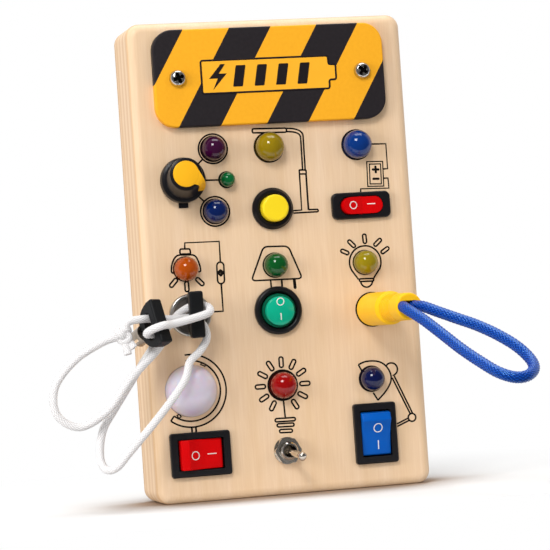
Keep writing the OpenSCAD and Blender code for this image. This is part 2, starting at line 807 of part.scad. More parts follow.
module led_purple() { color("#4a0a55") at_front(led_purple_at) led(led_mid_d); }
module led_green_small() { color("#0a7a30") at_front(led_small_at) led(led_small_d); }
module led_blue_lower() { color("#0a2070") at_front(led_lower_at) led(led_mid_d); }
module led_olive() { color("#c8b400") at_front(led_olive_at) led(led_large_d); }
module led_blue_upper() { color("#0a2f90") at_front(led_upper_at) led(led_large_d); }
module led_orange() { color("#e07010") at_front(led_orange_at) led(led_mid_d); }
module led_green() { color("#0a8a40") at_front(led_green_at) led(led_mid_d); }
module led_lime() { color("#b4b020") at_front(led_lime_at) led(led_mid_d); }
module led_red() { color("#d01010") at_front(led_red_at) led(led_bulb_d); }
module led_blue_desk() { color("#0a1f80") at_front(led_desk_at) led(led_mid_d); }

module lead_pair(z_top) {
    for (x = [-1, 1]) translate([x * lead_pitch / 2 - lead_w / 2, -lead_w / 2, z_top - lead_l])
        cube([lead_w, lead_w, lead_l]);
}

module led_leads() {
    color("silver") {
        for (l = lamps) at_front(l[0]) lead_pair(-panel_t - led_flange_h);
        at_front(dome_at) lead_pair(-panel_t - dome_flange_h - dome_led_drop);
    }
}

module dome_lens() {
    color("#e6e0ea") at_front(dome_at) rotate_extrude() difference() {
        union() {
            translate([0, -panel_t - dome_flange_h]) square([dome_flange_d / 2, dome_flange_h]);
            translate([0, -panel_t - tiny]) square([dome_d / 2, panel_t + dome_straight + tiny]);
            intersection() {
                translate([0, dome_straight]) circle(dome_d / 2);
                translate([0, dome_straight - tiny]) square([dome_d, dome_d]);
            }
        }
        translate([-1, -2 * panel_t]) square([dome_d / 2 - dome_wall + 1, 2 * panel_t + dome_straight]);
        translate([0, dome_straight]) circle(dome_d / 2 - dome_wall);
        translate([-dome_d, -dome_d]) square([dome_d, 3 * dome_d]);
    }
}

// White lamp on a small round carrier that closes the dome from behind.
module dome_led() {
    carrier_top = -panel_t - dome_flange_h;
    color("white") at_front(dome_at) rotate_extrude() {
        translate([0, carrier_top - dome_led_drop]) square([dome_flange_d / 2, dome_led_drop]);
        translate([0, carrier_top - tiny]) square([dome_led_d / 2, 3]);
        intersection() {
            translate([0, carrier_top + 3 - 2 * tiny]) circle(dome_led_d / 2);
            translate([0, carrier_top + 2]) square([dome_led_d, dome_led_d]);
        }
    }
}

// ---------- rotary switch ----------

module rotary_switch() {
    color("#303236") at_front(knob_at) {
        difference() {
            union() {
                block(rotary_body_w, rotary_body_w, 1, -panel_t - rotary_body_h, -panel_t);
                disc(bush_d, -panel_t - tiny, bush_h);
            }
            disc(shaft_d + 2 * run_gap, -panel_t - 3, bush_h + 1);
        }
        for (x = [-1:1]) translate([x * rotary_tab_x - 0.9, rotary_tabs_at[1] - knob_at[1] - 0.3, rotary_tab_z])
            cube([1.8, 0.6, rotary_tab_l + tiny]);
    }
}

// Lug washer and hex nut that clamp the rotary switch from the front.
module rotary_nut() {
    color("#2a2a2c") at_front(knob_at) {
        difference() {
            union() {
                disc(lug_washer_d, 0, lug_washer_t);
                translate([-lug_w / 2, -lug_reach, 0]) cube([lug_w, lug_reach, lug_washer_t]);
            }
            disc(bush_d + 2 * run_gap, -1, 1);
        }
        hex_nut(rotary_nut_af, bush_d + 2 * run_gap, lug_washer_t + tiny, lug_washer_t + nut_t);
    }
}

module rotary_shaft() {
    color("silver") at_front(knob_at) rotate([0, 0, -knob_rest]) {
        disc(shaft_d, -panel_t - 3 + run_gap, shaft_shoulder);
        d_shaft(shaft_d, shaft_flat, shaft_shoulder - tiny, knob_h - 1.5);
    }
}

// Teardrop plan of the yellow cap: a disc drawn out to the pointer.
module pointer_plan(grow) {
    r = knob_cap_d / 2 + grow;
    e = pointer_w / 2 + grow;
    reach = pointer_out - pointer_w / 2;
    lean = acos((r - e) / reach);
    circle(r);
    translate([reach, 0]) circle(e);
    polygon([r * [cos(lean), sin(lean)], [reach, 0] + e * [cos(lean), sin(lean)],
        [reach, 0] + e * [cos(lean), -sin(lean)], r * [cos(lean), -sin(lean)]]);
}

module pointer_tab(grow, z0, z1) {
    w = pointer_w + 2 * grow;
    translate([pointer_in - grow, -w / 2, z0]) cube([pointer_out - pointer_in - pointer_w / 2 + grow, w, z1 - z0]);
    translate([pointer_out - pointer_w / 2, 0, z0]) cylinder(d = w, h = z1 - z0);
}

// One grip groove, a long prism with its edge towards the axis.
module flute(h) {
    linear_extrude(h) polygon([[0, 0], [1, flute_w], [1, -flute_w]]);
}

module knob() {
    grip_r = knob_grip_d / 2;
    top_r = knob_top_d / 2;
    color("#1c1b1e") at_front(knob_at) rotate([0, 0, -knob_rest]) difference() {
        rotate_extrude() {
            translate([0, knob_under]) square([knob_skirt_d / 2, skirt_h - 1]);
            translate([0, knob_under]) square([knob_skirt_d / 2 - 1, skirt_h]);
            translate([knob_skirt_d / 2 - 1, knob_under + skirt_h - 1]) circle(1);
            polygon([[0, knob_under], [grip_r, knob_under], [grip_r, knob_under + skirt_h],
                [top_r + 0.2, knob_h - 0.8], [top_r - 0.6, knob_h], [0, knob_h]]);
        }
        disc(knob_well_d, knob_under - 1, knob_well_top);
        d_shaft(shaft_d + 2 * seat_gap / 2, shaft_flat - seat_gap / 2, knob_under, knob_h - 1.4);
        for (k = [1:flutes - 1]) rotate([0, 0, 360 * k / flutes])
            translate([top_r - flute_depth, 0, knob_under + skirt_h + 0.4]) flute(knob_h);
        translate([0, 0, knob_h - cap_disc_t]) linear_extrude(knob_h) pointer_plan(seat_gap / 2);
        pointer_tab(seat_gap / 2, knob_under + skirt_h + 0.4, knob_h + 1);
    }
}

module knob_cap() {
    color("#fbb81c") at_front(knob_at) rotate([0, 0, -knob_rest]) {
        translate([0, 0, knob_h - cap_disc_t + seat_gap / 2]) linear_extrude(cap_disc_t + 0.4) pointer_plan(0);
        pointer_tab(0, knob_under + skirt_h + 0.45, knob_h);
    }
}

// ---------- push button ----------

module button_housing() {
    base_z = -button_barrel_l - button_base_l;
    color("#1d1c1f") at_front(button_at) {
        difference() {
            rotate_extrude() polygon([[0, base_z], [button_thread_d / 2 - 0.4, base_z],
                [button_thread_d / 2 - 0.4, -button_barrel_l], [button_thread_d / 2, -button_barrel_l],
                [button_thread_d / 2, 0], [button_bezel_d / 2, 0], [button_bezel_d / 2, 1],
                [button_bezel_d / 2 - 0.9, button_bezel_t], [button_bore_d / 2 + 0.7, button_bezel_t],
                [button_bore_d / 2, button_bezel_t - 0.6], [0, button_bezel_t - 0.6]]);
            disc(button_bore_d, -1.2, button_bezel_t);
            disc(button_guide_d, -button_barrel_l, -1);
        }
        for (x = [-1, 1]) translate([x * button_tab_x - 0.9, -0.3, base_z - button_tab_l])
            cube([1.8, 0.6, button_tab_l + tiny]);
    }
}

module button_nut() {
    color("#252427") at_front(button_at)
        hex_nut(button_nut_af, button_thread_d + 2 * run_gap, -panel_t - button_nut_t, -panel_t);
}

module button_cap() {
    r = button_cap_d / 2;
    color("#fdb913") at_front(button_at) rotate_extrude() {
        translate([0, -1.1]) square([r, button_cap_h + 1.1 - 0.8]);
        translate([0, -1.1]) square([r - 0.8, button_cap_h + 1.1]);
        translate([r - 0.8, button_cap_h - 0.8]) circle(0.8);
        translate([0, -2.3]) square([button_flange_d / 2, 1.2]);
    }
}

module button_spring() {
    low = -button_barrel_l + spring_wire / 2 + 0.05;
    high = -2.3 - spring_wire / 2 - 0.05;
    color("silver") at_front(button_at) translate([0, 0, low])
        tube(helix(spring_d, high - low, spring_turns, 14), spring_wire, 6);
}

// ---------- rocker switches ----------

// Side view of a rocker: a shallow valley on top, ends on an arc about the pivot.
module rocker_side(l, mid_h, end_h) {
    intersection() {
        translate([0, pivot_h]) circle(l / 2);
        polygon([[-l, -rocker_foot], [l, -rocker_foot], [l, mid_h + 2 * (end_h - mid_h)],
            [0, mid_h], [-l, mid_h + 2 * (end_h - mid_h)]]);
    }
}

module rocker_stubs(w, d, l) {
    translate([0, 0, pivot_h]) rotate([90, 0, 0]) cylinder(d = d, h = w + 2 * l, center = true);
}

// A rocker in its middle position, length along local X.
module rocker(l, w) {
    rotate([90, 0, 0]) linear_extrude(w, center = true) rocker_side(l, rocker_mid_h, rocker_end_h);
    rocker_stubs(w, stub_d, stub_l);
}

module mini_rocker_shape() {
    intersection() {
        rotate([90, 0, 0]) linear_extrude(2 * mini_w, center = true)
            rocker_side(mini_l + 1, rocker_mid_h, rocker_end_h);
        block(mini_l, mini_w, mini_w / 2 - tiny, -5, 8);
    }
    rocker_stubs(mini_w - 0.4, mini_stub_d, mini_stub_l + 0.2);
}

// Spring ears that hold a rectangular switch behind the panel.
module panel_clips(l) {
    for (s = [0, 180]) rotate([0, 0, s]) rotate([90, 0, 0]) linear_extrude(clip_w, center = true)
        polygon([[l / 2 - 0.5, -panel_t - 0.1], [l / 2 + clip_out, -panel_t - 0.1],
            [l / 2, -panel_t - clip_h], [l / 2 - 0.5, -panel_t - clip_h]]);
}

module rect_housing(bezel_l, bezel_w, bezel_r, body_l, body_w, body_h, pin_d, pin_reach) {
    difference() {
        union() {
            translate([0, 0, bezel_t]) slab(bezel_l, bezel_w, bezel_t, bezel_r, 0.7);
            block(body_l, body_w, 0.5, -body_h, tiny);
            panel_clips(body_l);
        }
        children();
        translate([0, 0, pivot_h]) rotate([90, 0, 0])
            cylinder(d = pin_d + 2 * run_gap, h = 2 * pin_reach + 2 * run_gap, center = true);
    }
}

module large_housing() {
    rect_housing(rocker_bezel_l, rocker_bezel_w, 1, rocker_body_l, rocker_body_w, rocker_body_h,
        stub_d, rocker_w / 2 + stub_l)
        block(rocker_l + 2 * rocker_end_gap, rocker_w + 2 * rocker_side_gap, 0.3, -well_h, bezel_t + 1);
}

module mini_rocker_housing() {
    color("#1d1c1f") at_front(mini_at)
        rect_housing(mini_bezel_l, mini_bezel_w, 2, mini_body_l, mini_body_w, mini_body_h,
            mini_stub_d, mini_w / 2 + mini_stub_l)
            block(mini_l + 2 * mini_end_gap, mini_w + 2 * mini_side_gap,
                mini_w / 2 + mini_side_gap - tiny, -well_h, bezel_t + 1);
}

module mini_rocker() { color("#d81820") at_front(mini_at) tilted(rocker_tilt) mini_rocker_shape(); }

module round_rocker_housing() {
    color("#1d1c1f") at_front(round_at) {
        difference() {
            rotate_extrude() {
                polygon([[0, -round_body_h], [round_body_d / 2, -round_body_h], [round_body_d / 2, 0],
                    [round_bezel_d / 2, 0], [round_bezel_d / 2, bezel_t - 1],
                    [round_bezel_d / 2 - 1, bezel_t], [round_window_d / 2 + 0.9, bezel_t],
                    [round_window_d / 2, bezel_t - 0.8], [0, bezel_t - 0.8]]);
                translate([round_bezel_d / 2 - 1, bezel_t - 1]) circle(1);
            }
            disc(round_window_d, -well_h, bezel_t);
            rotate([0, 0, 90]) rocker_stubs(round_window_d, stub_d + 2 * run_gap, stub_l);
        }
    }
}

module round_rocker() {
    r = round_rocker_d / 2;
    dish_r = 22;
    color("#0db183") at_front(round_at) rotate([0, 0, 90]) tilted(-rocker_tilt) {
        difference() {
            rotate_extrude() polygon([[0, -rocker_foot], [r, -rocker_foot], [r, round_foot_h],
                [round_top_d / 2 + 0.2, round_top_h - 0.3], [round_top_d / 2 - 0.2, round_top_h],
                [0, round_top_h]]);
            translate([0, 0, round_top_h + dish_r - 0.4]) sphere(dish_r, $fn = 180);
        }
        rocker_stubs(2 * r - 1, stub_d, 0.5 + rocker_end_gap + stub_l);
    }
}

module red_rocker_housing() { color("#1d1c1f") at_front(red_rocker_at) large_housing(); }
module red_rocker() {
    color("#d8121a") at_front(red_rocker_at) tilted(rocker_tilt) rocker(rocker_l, rocker_w);
}
module blue_rocker_housing() {
    color("#1d1c1f") at_front(blue_rocker_at) rotate([0, 0, 90]) large_housing();
}
module blue_rocker() {
    color("#0f78dc") at_front(blue_rocker_at) rotate([0, 0, 90]) tilted(-rocker_tilt)
        rocker(rocker_l, rocker_w);
}

// Two flat solder tabs at -x and x, of length l, under a housing that ends at z.
module tab_pair(x, w, z, l) {
    for (s = [-1, 1]) translate([s * x - terminal_t / 2, -w / 2, z - l]) cube([terminal_t, w, l]);
}

module switch_terminals() {
    color("#c8a850") {
        at_front(mini_at) tab_pair(mini_tab_x, mini_tab_w, -mini_body_h, terminal_l);
        at_front(round_at) rotate([0, 0, 90]) tab_pair(round_tab_x, terminal_w, -round_body_h, terminal_l);
        at_front(red_rocker_at) tab_pair(rocker_tab_x, terminal_w, -rocker_body_h, terminal_l);
        at_front(blue_rocker_at) rotate([0, 0, 90])
            tab_pair(rocker_tab_x, terminal_w, -rocker_body_h, terminal_l);
        at_front(lock_at) tab_pair(lock_tab_x, mini_tab_w, -lock_barrel_l, lock_tab_l);
    }
}

// ---------- toggle switch ----------

module toggle_body() {
    color("#8f9296") at_front(toggle_at) {
        difference() {
            union() {
                block(toggle_body_l, toggle_body_w, 0.6, -panel_t - toggle_body_h, -panel_t);
                disc(toggle_bush_d, -panel_t - tiny, toggle_bush_h - 0.4);
                translate([0, 0, toggle_bush_h - 0.4 - tiny])
                    cylinder(d1 = toggle_bush_d, d2 = toggle_bush_d - 0.8, h = 0.4 + tiny);
            }
            disc(toggle_bore_d, -toggle_bore_depth, toggle_bush_h + 1);
            translate([-keyway_w / 2, toggle_bush_d / 2 - keyway_depth, -panel_t + 1])
                cube([keyway_w, toggle_bush_d, panel_t + toggle_bush_h]);
        }
        for (x = [-1:1]) translate([x * toggle_tab_x - 0.4, -1, -panel_t - toggle_body_h - toggle_tab_l])
            cube([0.8, 2, toggle_tab_l + tiny]);
    }
}

module toggle_nut() {
    color("#b8babd") at_front(toggle_at) {
        difference() {
            disc(toggle_washer_d, 0, toggle_washer_t);
            disc(toggle_bush_d + 2 * run_gap, -1, 1);
        }
        hex_nut(toggle_nut_af, toggle_bush_d + 2 * run_gap, toggle_washer_t + tiny,
            toggle_washer_t + toggle_nut_t);
    }
}

module toggle_lever() {
    r = toggle_tip_d / 2;
    s = toggle_stem_d / 2;
    color("#c4c6c9") at_front(toggle_at) translate([0, 0, toggle_pivot_h])
        rotate([0, toggle_throw, 0]) translate([0, 0, -toggle_pivot_h]) rotate_extrude() {
            polygon([[0, toggle_tail_h], [toggle_tail_d / 2, toggle_tail_h],
                [toggle_tail_d / 2, toggle_pivot_h], [s, toggle_pivot_h], [s, toggle_h * 0.6],
                [r, toggle_h - 2.4 * r], [r, toggle_h - r], [0, toggle_h - r]]);
            intersection() {
                union() {
                    translate([0, toggle_pivot_h]) circle(toggle_ball_d / 2);
                    translate([0, toggle_h - r]) circle(r);
                }
                translate([0, -toggle_h]) square([toggle_h, 3 * toggle_h]);
            }
        }
}

// ---------- key switch ----------

module lock_barrel() {
    color("#b9bbbe") at_front(lock_at) difference() {
        rotate_extrude() {
            polygon([[0, -lock_barrel_l], [lock_barrel_d / 2 - 0.5, -lock_barrel_l],
                [lock_barrel_d / 2, -lock_barrel_l + 0.5], [lock_barrel_d / 2, 0],
                [lock_bezel_d / 2, 0], [lock_bezel_d / 2, lock_bezel_t - 0.7],
                [lock_bezel_d / 2 - 0.7, lock_bezel_t], [lock_face_d / 2, lock_bezel_t],
                [lock_face_d / 2, lock_face_t], [0, lock_face_t]]);
            translate([lock_bezel_d / 2 - 0.7, lock_bezel_t - 0.7]) circle(0.7);
        }
        disc(rotor_d, -rotor_depth - 0.2, lock_bezel_t + 1);
        translate([lock_face_d / 2 - 1, 0, 0]) disc(0.9, lock_face_t - 0.4, lock_bezel_t);
    }
}

module lock_nut() {
    color("#a8aaad") at_front(lock_at)
        hex_nut(lock_nut_af, lock_barrel_d + 2 * run_gap, -panel_t - lock_nut_t, -panel_t);
}

// Rotor with the ring-shaped keyway round its post, and the slot for the key's nib.
module lock_rotor() {
    keyway_z = key_tip_z - face_gap;
    post_r = key_tube_d / 2 - key_tube_wall - seat_gap;
    ring_r = key_tube_d / 2 + seat_gap;
    color("#c9cbcf") at_front(lock_at) difference() {
        disc(rotor_d - 2 * run_gap, -rotor_depth, rotor_rise);
        rotate_extrude() translate([post_r, keyway_z]) square([ring_r - post_r, rotor_depth]);
        translate([post_r, -key_nib_w / 2 - seat_gap, keyway_z])
            cube([ring_r - post_r + key_nib_out, key_nib_w + 2 * seat_gap, rotor_depth]);
    }
}

// Bow outline: a D that hangs under the bar, with a short flat where the tube is seated.
module bow_outline() {
    intersection() {
        translate([0, bar_z]) circle(d = bow_w);
        translate([-bow_w / 2, bow_foot]) square([bow_w, bow_plate_h + 0.5]);
    }
}

// Key bow with its plate in local YZ and the bar along its outer end.
module bow_shape() {
    difference() {
        union() {
            rotate([90, 0, 90]) linear_extrude(bow_t, center = true) bow_outline();
            translate([0, 0, bow_top]) slab(bow_bar_t, bow_w, bar_h, 0.8, 0.75);
        }
        rotate([90, 0, 90]) linear_extrude(bow_w, center = true) translate([0, bow_slot_z])
            rounded_rect(bow_slot_l, bow_slot_h, bow_slot_h / 2 - tiny);
        translate([-key_tang_t / 2, -key_tang_w / 2, bow_foot - 1])
            cube([key_tang_t, key_tang_w, key_tang_l + 1]);
    }
}

// Tube with a closed upper end, a notch in its rim and a nib that drives the rotor; its tang sits in the bow.
module blade_shape() {
    r = key_tube_d / 2;
    difference() {
        union() {
            disc(key_tube_d, key_tip_z, bow_foot);
            translate([r - 0.2, -key_nib_w / 2, key_tip_z]) cube([0.2 + key_nib_out, key_nib_w, 1.2]);
            translate([-key_tang_t / 2, -key_tang_w / 2, bow_foot - tiny])
                cube([key_tang_t, key_tang_w, key_tang_l + tiny]);
        }
        disc(key_tube_d - 2 * key_tube_wall, key_tip_z - 1, bow_foot - key_tube_wall);
        rotate([0, 0, key_notch_turn]) translate([0, -key_notch_w / 2, key_tip_z - 1])
            cube([key_tube_d, key_notch_w, key_notch_l + 1]);
    }
}

module spare_place() {
    at_front(spare_at) translate([0, 0, spare_h]) rotate([spare_lean, spare_swing, 0])
        rotate([0, 0, spare_roll]) children();
}

module key_bow() { color("#19191b") at_front(lock_at) bow_shape(); }
module key_blade() { color("#b4b6b9") at_front(lock_at) blade_shape(); }
module spare_key_bow() { color("#19191b") spare_place() bow_shape(); }
module spare_key_blade() { color("#b4b6b9") spare_place() blade_shape(); }

module white_cord() { color("whitesmoke") tube(smooth(to_world(white_route), 2), white_cord_d, 8); }

// Overhand knot that joins the two ends of the white cord, with two cut tails.
module cord_knot() {
    color("whitesmoke") at_front([knot_at[0], knot_at[1]]) translate([0, 0, knot_at[2]]) {
        for (turn = [[0, 70, 0], [60, 20, 0]]) rotate(turn) rotate_extrude()
            translate([0.72 * white_cord_d, 0]) circle(white_cord_d / 2);
        for (tail = [[80, 12], [100, -18]]) rotate([0, 0, tail[1]]) rotate([tail[0], 0, 0])
            cylinder(d = white_cord_d, h = 2.6 * white_cord_d);
    }
}

// ---------- jack and plug ----------

module jack_socket() {
    color("#3a3a3c") at_front(jack_at) difference() {
        union() {
            disc(jack_body_d, -panel_t - jack_body_l, -panel_t);
            disc(jack_bush_d, -panel_t - tiny, jack_bush_h);
        }
        disc(jack_bore_d, -panel_t - jack_body_l + 1, jack_bush_h + 1);
    }
}

module jack_nut() {
    color("#b8babd") at_front(jack_at) difference() {
        disc(jack_nut_d, 0, jack_nut_t);
        disc(jack_bush_d + 2 * run_gap, -1, jack_nut_t + 1);
    }
}

module plug_body() {
    r = plug_d / 2;
    s = sleeve_d / 2;
    e = sleeve_end_d / 2;
    color("#fdbe1a") at_front(jack_at) difference() {
        rotate_extrude() {
            polygon([[0, face_gap], [r - 0.5, face_gap], [r, face_gap + 0.5], [r, plug_step_z - 1.2],
                [r - 1.2, plug_step_z], [s + 0.3, plug_step_z], [s, plug_step_z + 0.4],
                [e, plug_end - 0.8], [e - 0.8, plug_end], [0, plug_end]]);
            translate([r - 1.2, plug_step_z - 1.2]) circle(1.2);
            translate([e - 0.8, plug_end - 0.8]) circle(0.8);
        }
        disc(plug_well_d, 0, face_gap + plug_well_h);
        for (k = [1:sleeve_ribs]) translate([0, 0, plug_step_z + k * rib_pitch]) rotate_extrude()
            translate([s - rib_depth, 0]) square([1, rib_pitch / 2.4]);
        translate([0, 0, plug_end - cord_socket_depth]) linear_extrude(cord_socket_depth + 1)
            rounded_rect(2 * strand_x + blue_cord_d + 0.02, blue_cord_d + 0.02, blue_cord_d / 2);
        disc(pin_d, 0, face_gap + plug_well_h + 3);
    }
}

module plug_pin() {
    seat = face_gap + plug_well_h;
    tip = seat - pin_l;
    r = pin_d / 2;
    color("#c9cbcf") at_front(jack_at) rotate_extrude() difference() {
        polygon([[0, seat + 3], [r, seat + 3], [r, tip + pin_tip_l], [r - 0.6, tip + pin_tip_l - 0.5],
            [r - 0.1, tip + 1.4], [r - 0.8, tip + 0.2], [r - 1.2, tip], [0, tip]]);
        for (k = [0, 1]) translate([r - 0.15, tip + pin_tip_l + 1 + 3 * k]) square([1, 0.7]);
    }
}

module blue_cord() { color("#0a52d0") tube(smooth(to_world(blue_route), 2), blue_cord_d, 8); }

// ---------- wiring ----------

// A quarter bend from straight down (at the origin) to along local +X.
module wire_elbow() {
    translate([wire_bend_r, 0, 0]) rotate([90, 0, 0]) rotate([0, 0, 180]) rotate_extrude(angle = 90)
        translate([wire_bend_r, 0]) circle(d = wire_d, $fn = 24);
}

// Wire between two terminals: down from each, then straight across in the plane at z.
module wire(from, from_z, to, to_z, z) {
    run = to - from;
    l = norm(run);
    bend_z = z + wire_bend_r;
    translate([from[0], from[1], 0]) rotate([0, 0, atan2(run[1], run[0])]) {
        disc(wire_d, bend_z, from_z, $fn = 24);
        translate([0, 0, bend_z]) wire_elbow();
        translate([l, 0, 0]) disc(wire_d, bend_z, to_z, $fn = 24);
        translate([l, 0, bend_z]) rotate([0, 0, 180]) wire_elbow();
        translate([0, 0, z]) rotate([0, 90, 0]) disc(wire_d, wire_bend_r, l - wire_bend_r, $fn = 24);
    }
}

// Wire from the battery box's lower wall straight down in the plane at z, then up to a terminal.
module battery_wire(to, to_z, z) {
    bend_z = z + wire_bend_r;
    start = battery_z - box_h / 2;
    translate([to[0], start, z]) rotate([90, 0, 0]) disc(wire_d, 0, start - to[1] - wire_bend_r, $fn = 24);
    translate([to[0], to[1], 0]) disc(wire_d, bend_z, to_z, $fn = 24);
    translate([to[0], to[1], bend_z]) rotate([0, 0, 90]) wire_elbow();
}

module wiring_red() {
    rocker_z = -rocker_body_h - terminal_l;
    round_z = -round_body_h - terminal_l;
    mini_z = -mini_body_h - terminal_l;
    lock_z = -lock_barrel_l - lock_tab_l;
    button_z = -button_barrel_l - button_base_l - button_tab_l;
    color("#c01818") at_front([0, 0]) {
        battery_wire(button_at + [button_tab_x, 0], button_z, red_plane);
        wire(round_at + [0, round_tab_x], round_z, button_at - [button_tab_x, 0], button_z, red_plane);
        wire(toggle_at + [0, 0.5], -panel_t - toggle_body_h - toggle_tab_l,
            round_at - [0, round_tab_x], round_z, red_plane);
        wire(red_rocker_at + [rocker_tab_x, 0], rocker_z, lock_at + [lock_tab_x, -0.5], lock_z, red_plane);
        wire(lock_at + [lock_tab_x, 0.6], lock_z, rotary_tabs_at + [rotary_tab_x, 0], rotary_tab_z, red_plane);
        wire(blue_rocker_at + [0, rocker_tab_x], rocker_z, jack_at - [0, 2], -panel_t - jack_body_l,
            red_plane);
        wire(jack_at + [0, 2], -panel_t - jack_body_l, mini_at + [mini_tab_x, 0], mini_z, red_plane);
    }
}

module wiring_black() {
    lead_z = -panel_t - led_flange_h - lead_l;
    lead_x = lead_pitch / 2;
    color("#18181a") at_front([0, 0]) {
        wire(led_orange_at + [lead_x, 0], lead_z, led_lower_at - [lead_x, 0], lead_z, black_plane);
        wire(led_lower_at + [lead_x, 0], lead_z, led_small_at - [lead_x, 0], lead_z, black_plane);
        wire(led_small_at + [lead_x, 0], lead_z, led_olive_at - [lead_x, 0], lead_z, black_plane);
        wire(led_olive_at + [lead_x, 0], lead_z, led_upper_at - [lead_x, 0], lead_z, black_plane);
        wire(led_green_at + [lead_x, 0], lead_z, led_lime_at - [lead_x, 0], lead_z, black_plane);
        wire(led_red_at + [lead_x, 0], lead_z, led_desk_at - [lead_x, 0], lead_z, black_plane);
        wire(dome_at + [lead_x, 0], -panel_t - dome_flange_h - dome_led_drop - lead_l,
            led_red_at - [lead_x, 0], lead_z, black_plane);
    }
}

// ---------- what is drawn ----------

case();
back_cover();
cover_screws();
sign_plate();
sign_screws();
battery_box();
battery_cells();
battery_contacts();
battery_door();
door_screw();
led_purple();
led_green_small();
led_blue_lower();
led_olive();
led_blue_upper();
led_orange();
led_green();
led_lime();
led_red();
led_blue_desk();
led_leads();
dome_lens();
dome_led();
rotary_switch();
rotary_nut();
rotary_shaft();
knob();
knob_cap();
button_housing();
button_nut();
button_cap();
button_spring();
mini_rocker_housing();
mini_rocker();
round_rocker_housing();
round_rocker();
red_rocker_housing();
red_rocker();
blue_rocker_housing();
blue_rocker();
switch_terminals();
toggle_body();
toggle_nut();
toggle_lever();
lock_barrel();
lock_nut();
lock_rotor();
key_bow();
key_blade();
spare_key_bow();
spare_key_blade();
white_cord();
cord_knot();
jack_socket();
jack_nut();
plug_body();
plug_pin();
blue_cord();
wiring_red();
wiring_black();
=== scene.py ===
"""Finishes, printed line art, braided cords and studio for a wooden busy board."""
from math import atan2, ceil, cos, degrees, floor, pi, radians, sin, tau

import bmesh
import bpy
from bpy.props import FloatProperty, FloatVectorProperty, IntProperty, PointerProperty
from mathutils import Matrix, Vector
from mathutils.bvhtree import BVHTree


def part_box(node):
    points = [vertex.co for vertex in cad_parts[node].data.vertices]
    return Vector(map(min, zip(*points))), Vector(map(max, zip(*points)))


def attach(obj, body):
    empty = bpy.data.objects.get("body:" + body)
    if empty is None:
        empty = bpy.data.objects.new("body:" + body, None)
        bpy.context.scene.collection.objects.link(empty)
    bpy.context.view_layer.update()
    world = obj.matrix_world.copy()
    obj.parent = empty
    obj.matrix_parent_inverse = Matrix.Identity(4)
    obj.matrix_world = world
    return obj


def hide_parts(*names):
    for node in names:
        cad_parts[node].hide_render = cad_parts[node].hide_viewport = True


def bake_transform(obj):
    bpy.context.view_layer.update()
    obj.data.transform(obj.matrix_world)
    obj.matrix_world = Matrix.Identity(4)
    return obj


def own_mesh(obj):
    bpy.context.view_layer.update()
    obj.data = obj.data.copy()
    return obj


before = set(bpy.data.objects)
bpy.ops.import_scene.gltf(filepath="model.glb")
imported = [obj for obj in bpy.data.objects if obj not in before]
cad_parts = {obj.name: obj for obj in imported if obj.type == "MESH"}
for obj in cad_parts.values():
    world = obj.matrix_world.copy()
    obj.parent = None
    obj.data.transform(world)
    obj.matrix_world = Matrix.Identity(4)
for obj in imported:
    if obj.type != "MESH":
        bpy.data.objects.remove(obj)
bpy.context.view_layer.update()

bl_info = {
    "name": "Busy board",
    "version": (1, 0, 0),
    "blender": (4, 5, 0),
    "location": "3D View > Sidebar > Busy board",
    "description": "Dresses a wooden busy board and sets up its studio",
    "category": "Object",
}

MM = 0.001
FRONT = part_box("case")[0][1]
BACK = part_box("back_cover")[1][1]


# ---------- small helpers ----------

def linear(hex_colour):
    """Linear RGBA of an sRGB hex colour."""
    values = [int(hex_colour[i:i + 2], 16) / 255 for i in (1, 3, 5)]
    return (*[v / 12.92 if v <= 0.04045 else ((v + 0.055) / 1.055) ** 2.4 for v in values], 1.0)


def middle(name):
    """Centre of a node's box, in metres."""
    lo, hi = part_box(name)
    return (Vector(lo) + Vector(hi)) / 2


def offset(right, up, out=0):
    """A step in metres from its parts in millimetres."""
    return Vector((right * MM, -out * MM, up * MM))


def flat_at(name):
    """Centre of a lamp or switch, on the front face."""
    centre = middle(name)
    return Vector((centre.x, FRONT, centre.z))


def wire_up(tree, node, inputs):
    """Fills a node's inputs with values, or links them to other nodes' outputs."""
    for key, value in inputs.items():
        if isinstance(value, bpy.types.NodeSocket):
            tree.links.new(value, node.inputs[key])
        else:
            node.inputs[key].default_value = value
    return node


def add(tree, kind, inputs=None, **settings):
    """Adds a shader node with its settings, values and links."""
    node = tree.nodes.new("ShaderNode" + kind)
    for name, value in settings.items():
        setattr(node, name, value)
    return wire_up(tree, node, inputs or {})


def noise(tree, place, scale, detail=2.0, **inputs):
    """Noise at a place: its scale per metre, or three scales to draw it out along an axis."""
    if isinstance(scale, tuple):
        place, scale = add(tree, "Mapping", {"Vector": place, "Scale": scale}).outputs[0], 1.0
    return add(tree, "TexNoise", {"Vector": place, "Scale": scale, "Detail": detail, **inputs}).outputs[0]


def spread(tree, value, low, high, start=0.0, end=1.0, **settings):
    """A value that runs from start to end, made to run from low to high."""
    return add(tree, "MapRange", {"Value": value, "From Min": start, "From Max": end, "To Min": low,
                                  "To Max": high}, **settings).outputs[0]


def maths(tree, operation, *values, **settings):
    """Result of a math operation on values and outputs."""
    return add(tree, "Math", dict(enumerate(values)), operation=operation, **settings).outputs[0]


def mix(tree, share, first, second):
    """A mix of two colours, each an output, a linear colour or an sRGB hex colour."""
    first, second = (linear(c) if isinstance(c, str) else c for c in (first, second))
    return add(tree, "Mix", {0: share, 6: first, 7: second}, data_type="RGBA").outputs[2]


def ray_is(tree, *kinds):
    """1 where the ray is of one of these kinds, and 0 elsewhere."""
    path = add(tree, "LightPath").outputs
    found = path[f"Is {kinds[0]} Ray"]
    for kind in kinds[1:]:
        found = maths(tree, "MAXIMUM", found, path[f"Is {kind} Ray"])
    return found


